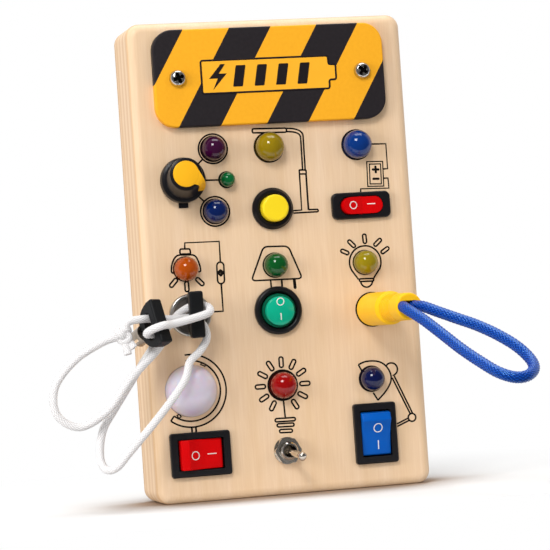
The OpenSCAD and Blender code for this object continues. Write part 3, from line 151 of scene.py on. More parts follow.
def surface(tree, shader, colour, rough, height=None, strength=0.0, depth=0.0):
    """Gives a shader its colour and roughness, and a relief whose depth is in millimetres."""
    wire_up(tree, shader, {"Base Color": colour, "Roughness": rough})
    if height is not None:
        relief = add(tree, "Bump", {"Height": height, "Strength": strength, "Distance": depth * MM})
        wire_up(tree, shader, {"Normal": relief.outputs[0]})


def new_material(name, inputs):
    """A material with these constants on its shader; with its tree, shader and Object coordinates."""
    material = bpy.data.materials.new(name)
    material.use_nodes = True
    tree = material.node_tree
    shader = wire_up(tree, tree.nodes["Principled BSDF"], inputs)
    return material, tree, shader, add(tree, "TexCoord").outputs["Object"]


def dress(material, *names):
    """Gives CAD nodes a material."""
    for name in names:
        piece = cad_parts[name]
        if not piece.material_slots:
            piece.data.materials.append(material)
        for place in piece.material_slots:
            place.material = material


def new_object(name, mesh, material):
    """Links a mesh as an object at the origin."""
    mesh.materials.clear()
    mesh.materials.append(material)
    piece = bpy.data.objects.new(name, mesh)
    bpy.context.scene.collection.objects.link(piece)
    return piece


def mesh_of(bm, name, crisp=38):
    """Turns a bmesh into a smooth mesh whose edges sharper than an angle in degrees stay crisp."""
    bmesh.ops.recalc_face_normals(bm, faces=bm.faces)
    mesh = bpy.data.meshes.new(name)
    bm.to_mesh(mesh)
    bm.free()
    mesh.shade_smooth()
    mesh.set_sharp_from_angle(angle=radians(crisp))
    return mesh


def spun(bm, profile, at, steps=72):
    """Adds a shape turned round the board's normal; the profile is [radius, height] in millimetres."""
    rim = [bm.verts.new(at + offset(r, 0, h)) for r, h in profile]
    edges = [bm.edges.new(pair) for pair in zip(rim, rim[1:])]
    bmesh.ops.spin(bm, geom=rim + edges, cent=at, axis=(0, 1, 0), angle=tau, steps=steps, use_merge=True)
    bmesh.ops.remove_doubles(bm, verts=bm.verts, dist=0.001 * MM)


def part(name, bm, material, body, slot, *nodes, crisp=38):
    """Makes a piece of a bmesh that rides on a body, and stands for these CAD nodes."""
    piece = new_object(name, mesh_of(bm, name, crisp), material)
    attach(piece, body)
    if nodes:
        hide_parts(*nodes)
    return piece


def settings():
    """The add-on's settings on the scene."""
    return bpy.context.scene.busy_board


# ---------- finishes ----------

# Heights above the front face between which an LED's tint turns from its foot, painted dark as shade, to its
# nose, painted lighter as light.
LED_FOOT, LED_NOSE = 0.5 * MM, 5 * MM
# Width of the scratches on plated metal, and distance between the tool marks of the lock.
SCRATCH_W, TOOL_STEP = 0.3 * MM, 0.4 * MM


def birch_plywood(name, face, edge, ply_t, first_y):
    """Birch plywood, sanded and clear lacquered: long straight grain, and darker cross plies on the edges."""
    material, tree, shader, place = new_material(name, {"Coat Weight": 0.12, "Coat Roughness": 0.35})
    # Growth bands, about 5 mm apart and drawn out along the height.
    bands = noise(tree, place, (200, 200, 12), 4.0, Roughness=0.6, Distortion=0.3)
    # Fibres, drawn 0.45 mm wide so that they show.
    fibres = noise(tree, place, (2200, 2200, 90), 3.0)
    # Cloudy figure of rotary cut birch, about 25 mm across.
    figure = noise(tree, place, 40.0, Distortion=0.8)
    tone = mix(tree, spread(tree, bands, 0, 1, 0.3, 0.7), face[0], face[1])
    streak = mix(tree, spread(tree, fibres, 0, 0.35, 0.3, 0.7), tone, face[2])
    cloud = mix(tree, spread(tree, figure, 0, 0.3, 0.3, 0.7), streak, face[1])
    # The plies are layers in depth; every other one shows its darker end grain.
    depth = add(tree, "SeparateXYZ", {"Vector": place}).outputs["Y"]
    layer = spread(tree, depth, 0, pi, first_y - 0.3 * ply_t, first_y + 0.7 * ply_t, clamp=False)
    wave = maths(tree, "SINE", maths(tree, "MULTIPLY_ADD", bands, 0.9, layer))
    cross = spread(tree, wave, 0, 0.6, 0.25, -0.35, interpolation_type="SMOOTHSTEP")
    surface(tree, shader, mix(tree, cross, cloud, edge), spread(tree, fibres, 0.48, 0.62), fibres,
            strength=0.25, depth=0.04)
    return material


def striped_paint(name, plate_centre):
    """Satin enamel on a plywood plate: yellow with slanting black stripes, a slight brush texture."""
    paint = settings().paint
    material, tree, shader, place = new_material(name, {"Specular IOR Level": 0.2})
    axes = add(tree, "SeparateXYZ", {"Vector": place}).outputs
    # Distance along the plate's top edge, counted from four stripes to the left.
    lean = maths(tree, "MULTIPLY_ADD", axes["Z"], -STRIPE_LEAN, axes["X"])
    start = plate_centre.x - STRIPE_LEAN * plate_centre.z + STRIPE_EDGE - 4 * STRIPE_PITCH
    steps = spread(tree, lean, 0, 1, start, start + STRIPE_PITCH, clamp=False)
    black = maths(tree, "LESS_THAN", maths(tree, "FRACT", steps), STRIPE_W / STRIPE_PITCH)
    speckle = noise(tree, place, 900.0, 3.0)
    warm = mix(tree, speckle, (*paint.yellow, 1), (*paint.yellow_shade, 1))
    dark = mix(tree, speckle, (*paint.black, 1), "#2B2629")
    surface(tree, shader, mix(tree, black, warm, dark), spread(tree, speckle, 0.42, 0.62), speckle,
            strength=0.3, depth=0.03)
    return material


def moulded(name, colour, shade, roughness, inputs=None):
    """Injection moulded ABS or PVC: even colour, a fine spark texture and a soft sheen."""
    material, tree, shader, place = new_material(name, {"Specular IOR Level": 0.25, **(inputs or {})})
    # Flow marks some 8 mm long, and a spark texture drawn 0.35 mm coarse.
    flow = noise(tree, place, 125.0)
    spark = noise(tree, place, 2800.0)
    surface(tree, shader, mix(tree, flow, colour, shade),
            spread(tree, spark, 0.8 * roughness, 1.2 * roughness), spark, strength=0.12, depth=0.02)
    return material


def tinted_epoxy(name, colour, glow):
    """Tinted epoxy of an LED: deep colour, painted darker at the foot as shade and lighter at the nose as
    light, a hard gloss outside, a few flow marks.
    """
    material, tree, shader, place = new_material(name, {"IOR": 1.53, "Specular IOR Level": 0.2,
                                                        "Coat Weight": 0.6, "Coat Roughness": 0.03})
    streaks = noise(tree, place, 220.0, Distortion=1.0)
    # Painted shade darkens the foot in its hole, and painted light brightens the nose.
    depth = add(tree, "SeparateXYZ", {"Vector": place}).outputs["Y"]
    painted_nose_light = spread(tree, depth, 0, 0.75, FRONT - LED_FOOT, FRONT - LED_NOSE, interpolation_type="SMOOTHSTEP")
    flow_and_painted_light = maths(tree, "MULTIPLY_ADD", streaks, 0.3, painted_nose_light, use_clamp=True)
    surface(tree, shader, mix(tree, flow_and_painted_light, colour, glow), spread(tree, streaks, 0.04, 0.09))
    return material


def frosted_polycarbonate(name):
    """Frosted polycarbonate dome: a milky lilac white that scatters light, with a satin skin."""
    material, tree, shader, place = new_material(name, {
        "Subsurface Weight": 0.6, "Subsurface Scale": 2 * MM, "IOR": 1.58, "Coat Weight": 0.7,
        "Coat Roughness": 0.07})
    milk = noise(tree, place, 140.0)
    frost = noise(tree, place, 3500.0)
    surface(tree, shader, mix(tree, milk, "#DDD5E2", "#CFC6D8"), spread(tree, frost, 0.25, 0.4), frost,
            strength=0.1, depth=0.02)
    return material


def plated_steel(name, bright, dull, roughness):
    """Zinc or nickel plated steel: bright metal with fine handling scratches and dull spots, and driver
    recesses painted dark as shade.
    """
    material, tree, shader, place = new_material(name, {"Metallic": 1.0})
    spots = noise(tree, place, 420.0, 4.0)
    # Scratches lie at a slant.
    slant = add(tree, "Mapping", {"Vector": place, "Rotation": (0.4, 0.3, 0.5),
                                  "Scale": (1 / SCRATCH_W, 1 / SCRATCH_W, 180)})
    scratches = noise(tree, slant.outputs[0], 1.0)
    # Driver recesses are painted dark as shade.
    recess_shade = add(tree, "Attribute", attribute_name="recess").outputs["Fac"]
    tone = mix(tree, recess_shade, mix(tree, spots, bright, dull), "#2A2724")
    surface(tree, shader, tone, spread(tree, spots, 0.7 * roughness, 1.4 * roughness), scratches,
            strength=0.15, depth=0.01)
    return material


def turned_nickel(name, axis, face_r):
    """Turned and nickel plated brass lock: bright bezel, grey turned face with fine rings round the axis."""
    material, tree, shader, place = new_material(name, {"Metallic": 1.0})
    centred = add(tree, "Mapping", {"Vector": place, "Location": (-axis.x, 0, -axis.z), "Scale": (1, 0, 1)})
    reach = add(tree, "VectorMath", {0: centred.outputs[0]}, operation="LENGTH").outputs["Value"]
    rings = maths(tree, "SINE", maths(tree, "MULTIPLY", reach, tau / TOOL_STEP))
    on_face = spread(tree, reach, 0, 1, face_r + 0.1 * MM, face_r - 0.1 * MM)
    spots = noise(tree, place, 380.0, 4.0)
    bezel = mix(tree, spots, "#D9D7D3", "#A9A49C")
    face = mix(tree, spots, "#A39C95", "#857E77")
    surface(tree, shader, mix(tree, on_face, bezel, face), spread(tree, on_face, 0.3, 0.45), rings,
            strength=0.2, depth=0.01)
    return material


def braided_yarn(name, crown, groove_shade, gloss, inputs):
    """Braided polyester or nylon yarn: crowns in the yarn's colour, grooves painted darker as shade, and fine
    filaments along the cord.
    """
    material, tree, shader, _ = new_material(name, inputs)
    height = add(tree, "Attribute", attribute_name="crown").outputs["Fac"]
    # Filaments, drawn 0.12 mm apart.
    filaments = noise(tree, add(tree, "UVMap").outputs[0], (2.0, 8.0, 1.0))
    # The grooves between the plaits are painted in the darker colour as shade, and the filaments are streaked
    # with it.
    tone = mix(tree, spread(tree, height, 0, 1, 0.2, 0.85), groove_shade, crown)
    colour = mix(tree, spread(tree, filaments, 0, 0.25, 0.35, 0.65), tone, groove_shade)
    surface(tree, shader, colour, spread(tree, filaments, gloss, gloss + 0.15), filaments,
            strength=0.2, depth=0.03)
    return material


# ---------- cords ----------

# Routes of the cords, in millimetres: [right, up, out of the front face].
JACK_X, JACK_UP = 30.9, 60.8
# Half the distance between the loop's two strands, the plug's end, and how deep the strands sit in it.
STRAND, PLUG_END, SOCKET = 2.02, 43.3, 3.0
BLUE_ROUTE = [
    (JACK_X - STRAND, JACK_UP, PLUG_END - SOCKET), (JACK_X - STRAND, JACK_UP, PLUG_END),
    (29.2, 59.6, 47.5), (32, 56.2, 54), (35.3, 51.2, 62.5), (38.5, 46.2, 71), (41.8, 41.8, 79.5),
    (45, 38.4, 86.2), (49.3, 36.6, 89), (53.8, 36.8, 88), (57.6, 38.7, 83.5), (58.6, 41.6, 78),
    (56.2, 45.8, 73), (52.2, 49.8, 67), (47.6, 53.2, 61), (42.6, 55.9, 56), (38, 58.4, 51.2),
    (34.8, 60.3, 47), (JACK_X + STRAND, JACK_UP, PLUG_END), (JACK_X + STRAND, JACK_UP, PLUG_END - SOCKET)]
WHITE_ROUTE = [
    (-57.6, 59.3, 12.6), (-56.5, 62, 13), (-51.5, 62.7, 12.3), (-45.9, 62.5, 9.7), (-40, 62, 8),
    (-33.6, 61.9, 7), (-30, 59.3, 6.9), (-29.2, 55, 7.2), (-32, 50.8, 8), (-36, 47.4, 9.5),
    (-39, 41, 12), (-48, 30.8, 14), (-59.5, 19.4, 16), (-64, 14.9, 16), (-67, 14.3, 12),
    (-68, 18.6, 8.5), (-66.5, 26.8, 8), (-61.5, 34.5, 8), (-49, 51.2, 6.3), (-43.5, 57.4, 4.5),
    (-38.5, 63, 5), (-34, 65.7, 6.4), (-30.2, 66, 6.9), (-28.5, 65, 10.6), (-30.2, 63, 14.3),
    (-41.8, 60.5, 17.3), (-46.3, 60.1, 19.9), (-50.3, 58.8, 18.9), (-51, 57.6, 15.8),
    (-47, 57.2, 12.6), (-45, 55.2, 10.4), (-47.2, 51.7, 9.3), (-56.7, 43.3, 12), (-65, 33.6, 12.5),
    (-74.7, 28.8, 12.5), (-82, 33.4, 12.5), (-82, 42.4, 12.5), (-75, 50.6, 12.5), (-66, 55.7, 12.5),
    (-60.3, 57.4, 12.5)]
KNOT_AT = (-58.2, 58, 12.6)
KNOT_SIZE = 0.75 * MM
KNOT_STEPS = 120
# The knot's cut ends: how far each runs aside and down, in millimetres.
KNOT_TAILS = ((0.9, 6.6), (3.0, 4.6))
# Depth of the grooves between the plaits, as a share of the cord's radius.
WHITE_GROOVES = 0.09
BLUE_GROOVES = 0.15
# Points on the smooth curve from one place of a route to the next.
CURVE_STEPS = 30
SIDES_PER_PLAIT = 4


def in_front(point):
    """A place given as [right, up, out of the front face] in millimetres, in metres."""
    return Vector((point[0] * MM, FRONT - point[2] * MM, point[1] * MM))


def spline(a, b, c, d, t):
    """Point between b and c on the smooth curve through four points."""
    return b + 0.5 * t * (c - a + t * (2 * a - 5 * b + 4 * c - d + t * (3 * (b - c) + d - a)))


def even_course(route, step):
    """Points a step apart on the smooth curve through a route."""
    last = len(route) - 1
    dense = [spline(route[max(i - 1, 0)], route[i], route[i + 1], route[min(i + 2, last)], k / CURVE_STEPS)
             for i in range(last) for k in range(CURVE_STEPS)] + [route[last]]
    reach = [0.0]
    for a, b in zip(dense, dense[1:]):
        reach.append(reach[-1] + (b - a).length)
    count = ceil(reach[-1] / step)
    course, i = [], 0
    for k in range(count + 1):
        wanted = reach[-1] * k / count
        while i < len(dense) - 2 and reach[i + 1] < wanted:
            i += 1
        share = (wanted - reach[i]) / max(reach[i + 1] - reach[i], 1e-9)
        course.append(dense[i].lerp(dense[i + 1], min(share, 1)))
    return course


def length_of(course):
    """Length of a line of points."""
    return sum((b - a).length for a, b in zip(course, course[1:]))


def carried_sides(course):
    """Forward and sideways directions along a course, carried without twist."""
    side = Vector((0.3, 1.0, 0.2))
    found = []
    for i in range(len(course)):
        ahead = (course[min(i + 1, len(course) - 1)] - course[max(i - 1, 0)]).normalized()
        side = (side - side.dot(ahead) * ahead).normalized()
        found.append((side.copy(), ahead.cross(side)))
    return found


def crown_height(a, b):
    """Height from 0 to 1 of a plain braid whose two families of plaits are counted by a and b."""
    over, under = (a, b) if (floor(a) + floor(b)) % 2 == 0 else (b, a)
    return sin(pi * (over % 1.0)) * (0.55 + 0.45 * sin(pi * (under % 1.0)))


def braid(bm, course, radius, plaits, plait_l, depth):
    """Adds a braided tube round a line of points: a grid bent round it, raised where a plait is on top."""
    uv = bm.loops.layers.uv.verify()
    crown = bm.verts.layers.float.get("crown") or bm.verts.layers.float.new("crown")
    rings = len(course) - 1
    sides = plaits * SIDES_PER_PLAIT
    total = length_of(course)
    made = bmesh.ops.create_grid(bm, x_segments=rings, y_segments=sides, size=0.5, calc_uvs=True)["verts"]
    facing = carried_sides(course)
    for v in made:
        along = v.co.x + 0.5
        turn = v.co.y + 0.5
        i = round(along * rings)
        run = along * total / plait_l
        height = crown_height(turn * plaits + run, turn * plaits - run)
        side, up = facing[i]
        r = radius * (1 - depth * (1 - height))
        v[crown] = height
        v.co = course[i] + r * (cos(tau * turn) * side + sin(tau * turn) * up)
    for face in {f for v in made for f in v.link_faces}:
        for loop in face.loops:
            loop[uv].uv = (loop[uv].uv.x * total / MM, loop[uv].uv.y * tau * radius / MM)
    bmesh.ops.remove_doubles(bm, verts=made, dist=0.001 * MM)
    bmesh.ops.holes_fill(bm, edges=[e for e in bm.edges if e.is_boundary], sides=0)


def knot_course(centre):
    """A trefoil round the centre, which is the course of an overhand knot."""
    turn = Matrix.Rotation(radians(25), 3, "Z") @ Matrix.Rotation(radians(75), 3, "X")
    turns = [tau * k / KNOT_STEPS for k in range(KNOT_STEPS + 1)]
    return [centre + turn @ Vector((sin(t) + 2 * sin(2 * t), cos(t) - 2 * cos(2 * t), -1.3 * sin(3 * t)))
            * KNOT_SIZE for t in turns]


class BOARD_OT_cords(bpy.types.Operator):
    """Braids the white cord with its knot, and the blue loop of the plug"""
    bl_idname = "board.cords"
    bl_label = "Braid the cords"

    def execute(self, context):
        cords = settings().cords
        # Each cord's second colour is the shade painted into its grooves.
        white = braided_yarn("braided_polyester_white", "#FBFAFA", "#CBC7C6", 0.55,
                             {"Sheen Weight": 0.2, "Sheen Roughness": 0.4, "Specular IOR Level": 0.3})
        blue = braided_yarn("braided_nylon_blue", "#0A50C6", "#021C5C", 0.2,
                            {"Specular IOR Level": 1.0, "Specular Tint": (0.25, 0.6, 1.0, 1.0)})
        course = even_course([in_front(p) for p in WHITE_ROUTE], cords.ring_step)
        bm = bmesh.new()
        braid(bm, course, cords.white_diameter / 2, cords.white_plaits, cords.plait_length,
              WHITE_GROOVES)
        piece = new_object("white_cord_braid", mesh_of(bm, "white_cord_braid", crisp=80), white)
        knot = self.knot(cords, white)
        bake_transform(piece)
        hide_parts("white_cord")
        course = even_course([in_front(p) for p in BLUE_ROUTE], cords.ring_step)
        bm = bmesh.new()
        braid(bm, course, cords.blue_diameter / 2, cords.blue_plaits, cords.plait_length,
              BLUE_GROOVES)
        loop = part("blue_loop_braid", bm, blue, "plug", "blue_braid", "blue_cord", crisp=80)
        return {"FINISHED"}

    def knot(self, cords, material):
        """The overhand knot that joins the white cord's ends, with two cut tails."""
        centre = in_front(KNOT_AT)
        bm = bmesh.new()
        shape = (cords.white_diameter / 2, cords.white_plaits, cords.plait_length, WHITE_GROOVES)
        braid(bm, knot_course(centre), *shape)
        for aside, down in KNOT_TAILS:
            tail = [centre + offset(aside * t, -down * t, 0.8 * t * t) for t in [k / 30 for k in range(31)]]
            braid(bm, tail, *shape)
        return part("cord_knot_braid", bm, material, "lanyard", "white_braid", "cord_knot", crisp=80)


# ---------- wood and sign ----------

PLY_T, SHEET_PLY_T, SHEET_T = 2.8 * MM, 1.2 * MM, 3 * MM
# The radius of each ring of painted shade in a hole's gap, less that of its lamp or plug, in millimetres.
HOLE_GAPS = (("led_purple", -0.1), ("led_green_small", -0.15), ("led_blue_lower", -0.2), ("led_olive", -0.05),
             ("led_blue_upper", -0.05), ("led_orange", -0.25), ("led_green", -0.25), ("led_lime", -0.25),
             ("led_red", -0.1), ("led_blue_desk", -0.05), ("plug_body", 0.35))
# Thickness of the painted shade rings, and how far they reach in under the lamp.
GAP_SHADE_T, GAP_SHADE_UNDER = 0.03, 0.9
# How far the printed shapes stand out of the sign's face and go into it, in millimetres.
LABEL_LIFT, MARKS_LIFT, FILM_SUNK = 0.05, 0.1, 0.05
STRIPE_LEAN = 0.594
STRIPE_PITCH = 30.6 * MM
STRIPE_W = 14.6 * MM
# Left edge of the stripe right of the middle, at the height of the plate's centre.
STRIPE_EDGE = 7.5 * MM


class BOARD_OT_wood(bpy.types.Operator):
    """Gives the case and its back cover their plywood"""
    bl_idname = "board.wood"
    bl_label = "Finish the wood"

    def execute(self, context):
        face = ("#EFD2B3", "#E6C59E", "#D8AF83")
        dress(birch_plywood("birch_plywood_lacquered", face, "#D3A674", PLY_T, FRONT), "case")
        dress(birch_plywood("birch_plywood_sheet", ("#E6C69C", "#DAB588", "#CBA070"), "#B9844C",
                            SHEET_PLY_T, BACK - SHEET_T), "back_cover")
        return {"FINISHED"}


class BOARD_OT_hole_edges(bpy.types.Operator):
    """Paints dark rings of shade into the gaps of the holes round the lamps and the jack"""
    bl_idname = "board.hole_edges"
    bl_label = "Darken the hole edges"

    def execute(self, context):
        # Each ring is painted dark as the shade in the gap between a hole and its lamp or plug.
        gap_shade = moulded("laser_charred_edge", "#120B06", "#1E130B", 0.8, {"Specular IOR Level": 0.1})
        bm = bmesh.new()
        for name, gap in HOLE_GAPS:
            lo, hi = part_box(name)
            r = (hi[0] - lo[0]) / 2 / MM
            inner, outer = r - GAP_SHADE_UNDER, r + gap
            spun(bm, [(inner, 0), (inner, GAP_SHADE_T), (outer, GAP_SHADE_T), (outer, 0)], flat_at(name), 64)
        part("charred_hole_edges", bm, gap_shade, "root", "plywood")
        return {"FINISHED"}


class BOARD_OT_sign(bpy.types.Operator):
    """Paints the sign plate's stripes and prints its battery pictogram"""
    bl_idname = "board.sign"
    bl_label = "Paint the sign"

    def execute(self, context):
        plate = middle("sign_plate")
        dress(striped_paint("striped_enamel", plate), "sign_plate")
        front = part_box("sign_plate")[0][1]
        ink = moulded("sign_print_black", "#1C181A", "#241F21", 0.5, {"Specular IOR Level": 0.1})
        yellow = moulded("sign_print_yellow", "#FBB62B", "#F5AC22", 0.5)
        label = rounded([(-24, -5.6), (20.5, -5.6), (20.5, -2.6), (23, -2.6), (23, 2.6), (20.5, 2.6),
                         (20.5, 5.6), (-24, 5.6)], 0.8)
        self.film("sign_label", [label[0]], plate, front, LABEL_LIFT, yellow, "sign_yellow")
        marks = [rounded([(x - 1.3, -3.6), (x + 2.1, -3.6), (x + 3.5, 3.6), (x + 0.1, 3.6)], 0.4)[0]
                 for x in (-12, -4.5, 3, 10.5)]
        bolt = [(-17.2, 4.2), (-21.4, -0.6), (-18.4, -0.6), (-20.2, -4.4), (-15.2, 1.0), (-18.0, 1.0),
                (-15.6, 4.2)]
        self.film("sign_charge_marks", [*marks, bolt], plate, front, MARKS_LIFT, ink, "key_black")
        print_strokes("sign_outline", [label], plate, 0.75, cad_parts["sign_plate"], "root", ink,
                      lift=0.06)
        return {"FINISHED"}

    def film(self, name, outlines, centre, front, lift, material, slot):
        """Thin printed shapes on the plate's face."""
        bm = bmesh.new()
        for outline in outlines:
            face = bm.faces.new([bm.verts.new((centre.x + x * MM, front - lift * MM, centre.z + z * MM))
                                 for x, z in outline])
            grown = bmesh.ops.extrude_face_region(bm, geom=[face])["geom"]
            bmesh.ops.translate(bm, vec=offset(0, 0, -lift - FILM_SUNK),
                                verts=[g for g in grown if isinstance(g, bmesh.types.BMVert)])
        part(name, bm, material, "root", slot)


# ---------- printed line art ----------

# Thickness of the ink and the height it is raised by, in millimetres.
INK_T, INK_LIFT = 0.06, 0.012
# How far out the rays start that find the faces to print on.
PROBE = 60 * MM


def stroke(*points):
    """An open stroke through points, in millimetres from the drawing's centre."""
    return list(points), False


def closed_stroke(*points):
    """A closed stroke through points."""
    return list(points), True


def arc(x, z, r, start, end, steps=28):
    """An open arc about [x, z] between two angles in degrees."""
    turns = [radians(start + (end - start) * k / steps) for k in range(steps + 1)]
    return [(x + r * cos(t), z + r * sin(t)) for t in turns], False


def ring(x, z, r):
    """A full circle."""
    return arc(x, z, r, 0, 350, 35)[0], True


def capsule(x0, z0, x1, z1, r):
    """A closed stroke round a short bar with round ends."""
    lean = degrees(atan2(z1 - z0, x1 - x0))
    return (arc(x1, z1, r, lean - 90, lean + 90, 8)[0] + arc(x0, z0, r, lean + 90, lean + 270, 8)[0]), True


def rounded(points, r, closed=True):
    """A polygon with its corners rounded by a radius of about r."""
    soft = []
    for i, point in enumerate(points):
        here = Vector(point)
        before, after = Vector(points[i - 1]), Vector(points[(i + 1) % len(points)])
        if not closed and i in (0, len(points) - 1):
            soft.append(tuple(here))
            continue
        a = here + (before - here).normalized() * min(r, (before - here).length / 2)
        b = here + (after - here).normalized() * min(r, (after - here).length / 2)
        for k in range(5):
            t = k / 4
            soft.append(tuple((1 - t) ** 2 * a + 2 * t * (1 - t) * here + t * t * b))
    return soft, closed


def rays(x, z, inner, outer, r, turns):
    """Short round-ended bars set round a centre."""
    return [capsule(x + inner * cos(radians(t)), z + inner * sin(radians(t)),
                    x + outer * cos(radians(t)), z + outer * sin(radians(t)), r) for t in turns]


def faces_of(piece):
    """Search tree over a piece's faces."""
    mesh = piece.data
    return BVHTree.FromPolygons([v.co for v in mesh.vertices], [p.vertices for p in mesh.polygons])


def print_strokes(name, strokes, centre, width, base, body, material, lift=INK_LIFT):
    """Prints strokes as thin ribbons of ink that follow the face of a piece; sizes in millimetres."""
    curve = bpy.data.curves.new(name, "CURVE")
    curve.dimensions = "3D"
    curve.bevel_depth = width * MM / 2
    curve.bevel_resolution = 1
    curve.use_fill_caps = True
    for points, closed in strokes:
        path = curve.splines.new("POLY")
        path.points.add(len(points) - 1)
        for target, (x, z) in zip(path.points, points):
            target.co = (centre.x + x * MM, 0, centre.z + z * MM, 1)
        path.use_cyclic_u = closed
    drawn = bpy.data.objects.new(name + "_path", curve)
    mesh = bpy.data.meshes.new_from_object(drawn)
    bpy.data.objects.remove(drawn)
    bpy.data.curves.remove(curve)
    ground = faces_of(base)
    flatness = INK_T / width
    for v in mesh.vertices:
        hit = ground.ray_cast(Vector((v.co.x, FRONT - PROBE, v.co.z)), Vector((0, 1, 0)))[0]
        v.co.y = (hit.y if hit else FRONT) + v.co.y * flatness - lift * MM
    mesh.name = name
    piece = new_object(name, mesh, material)
    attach(piece, body)
    return piece


def selector_lines():
    """Lines from the rotary knob to its three lamps, with rings round two of them."""
    knob = flat_at("knob")
    strokes = []
    for name, ring_r in (("led_purple", 5.0), ("led_green_small", 2.7), ("led_blue_lower", 5.0)):
        lamp = (flat_at(name) - knob) / MM
        way = lamp.normalized()
        start, end = way * 7.2, lamp - way * ring_r
        strokes.append(stroke((start.x, start.z), (end.x, end.z)))
        if name != "led_green_small":
            strokes.append(ring(lamp.x, lamp.z, ring_r))
    return strokes


def street_lamp():
    """Street lamp whose head stands over the olive lamp."""
    return [rounded([(6.6, 6.2), (-5.4, 6.5), (-5.4, 5.1), (6.6, 4.8)], 0.6),
            rounded([(6.6, 6.1), (9.4, 5.9), (12.3, 4.6), (12.3, 1.5), (12.2, -8.4)], 2.6, closed=False),
            rounded([(6.6, 5.0), (9.2, 4.8), (11.4, 3.8), (11.4, 1.2), (11.3, -8.4)], 2.2, closed=False),
            rounded([(10.1, -8.3), (12.5, -8.5), (12.5, -9.8), (10.1, -9.7)], 0.25),
            stroke((10.1, -9.8), (10.0, -22.0), (7.0, -22.1)), stroke((12.4, -9.9), (12.4, -22.1)),
            rounded([(12.4, -22.0), (15.8, -22.1), (15.8, -22.9), (7.0, -22.9)], 0.4, closed=False)]


def battery_sign():
    """Battery symbol with its leads, between the upper blue lamp and the mini rocker."""
    return [closed_stroke((3.3, -6.0), (9.0, -6.2), (8.8, -14.7), (3.1, -14.5)),
            closed_stroke((4.2, -6.9), (8.2, -7.0), (8.0, -13.9), (4.0, -13.7)),
            *[capsule(*ends, 0.12) for ends in ((5.3, -8.8, 7.3, -8.9), (6.3, -7.9, 6.3, -9.8),
                                                (5.3, -12.0, 7.1, -12.1))],
            stroke((4.7, 0.0), (10.6, -0.2), (10.6, -8.8), (9.0, -8.8)),
            stroke((8.9, -12.0), (10.5, -12.0), (10.6, -15.5), (0.5, -15.2), (0.4, -16.6))]


def pendant_lamp():
    """Pendant lamp over the orange lamp, with its lead and inline switch."""
    return [stroke((0.3, 6.8), (0.4, 8.8), (12.3, 8.6), (12.2, 1.5)),
            capsule(12.1, 0.4, 12.0, -4.5, 1.2), ring(12.05, -2.0, 0.75),
            capsule(12.05, -1.4, 12.05, -2.7, 0.3),
            stroke((12.0, -5.7), (12.0, -15.0), (7.2, -15.0)),
            rounded([(-1.5, 5.1), (-1.4, 6.8), (2.0, 6.7), (2.2, 5.0)], 0.5),
            rounded([(-3.6, -1.1), (-5.0, -1.1), (-4.5, 2.2), (-2.8, 4.9), (3.7, 4.6), (4.9, 1.8),
                     (5.4, -1.2), (4.4, -1.2)], 1.4, closed=False),
            capsule(-5.1, -5.2, -3.6, -3.6, 0.65), capsule(0.1, -4.9, 0.1, -7.0, 0.65),
            capsule(4.0, -3.8, 5.4, -5.3, 0.65)]


def table_lamp():
    """Table lamp shade round the green lamp; its foot is the round rocker."""
    return [rounded([(-3.6, 6.5), (5.1, 6.2), (9.3, -5.1), (-8.6, -4.8)], 1.6),
            stroke((-1.9, -5.0), (-1.8, -7.4)), stroke((2.0, -5.1), (2.0, -7.4)),
            capsule(6.4, -5.4, 6.5, -8.0, 0.25)]


def light_bulb():
    """Light bulb round the lime lamp with five rays."""
    return [(arc(0.2, 0.1, 5.6, -28, 208, 40)[0] + [(-2.6, -5.7)], False), stroke((5.1, -2.5), (2.8, -5.6)),
            capsule(-1.9, -6.0, 2.3, -6.1, 0.45), arc(0.2, -6.4, 2.1, 188, 352, 14),
            *[capsule(*ends, 0.6) for ends in ((-7.6, 4.4, -6.0, 3.6), (-4.9, 7.4, -3.5, 5.9),
                                               (0.5, 9.1, 0.6, 7.1), (5.9, 7.3, 4.3, 5.9),
                                               (8.4, 4.3, 6.7, 3.2))]]


def globe_stand():
    """Globe stand round the frosted dome: two arcs, their pins and the post."""
    tips = [(10.2, -128.0), (12.2, -128.0)]
    end = [(r * cos(radians(t)), r * sin(radians(t))) for r, t in tips]
    return [arc(0, 0, 10.2, 96, -128, 50), arc(0, 0, 12.2, 96, -128, 50), stroke(*end),
            closed_stroke((4.3, 9.1), (5.7, 8.4), (5.4, 7.9), (4.0, 8.6)),
            closed_stroke((-4.7, -8.9), (-5.3, -7.9), (-4.5, -7.5), (-3.9, -8.4)),
            stroke((-0.5, -12.2), (-0.5, -14.0)), stroke((0.9, -12.2), (0.9, -14.0))]


def glowing_bulb():
    """Bulb round the red lamp: a circle, rays, the filament lead and the screw base."""
    return [ring(0.1, 0, 5.1), *rays(0.1, 0, 6.7, 8.9, 0.68, [90 + k * 30 for k in range(-5, 6)]),
            stroke((0.0, -5.1), (0.2, -11.0)),
            *[capsule(0.15 - w, z, 0.15 + w, z - 0.1, 0.55)
              for w, z in ((3.0, -11.7), (2.4, -13.5), (1.7, -15.5))]]


def desk_lamp():
    """Desk lamp whose shade holds a blue lamp, with its arm down to the blue rocker."""
    return [stroke((-3.1, 2.7), (-4.3, 5.1)), stroke((0.3, -4.8), (1.8, -7.5)),
            rounded([(-4.3, 5.1), (-1.6, 6.2), (3.4, 5.9), (6.4, 3.2), (7.4, -0.6), (5.4, -4.2), (1.8, -7.5)],
                    2.6, closed=False),
            arc(7.3, 2.7, 2.2, 138, -82, 22), stroke((7.4, -0.2), (13.0, -13.1)),
            stroke((8.2, 0.3), (13.8, -12.9)), ring(13.5, -14.3, 1.35), stroke((12.2, -14.4), (8.0, -16.1)),
            stroke((12.5, -15.2), (8.0, -17.0))]


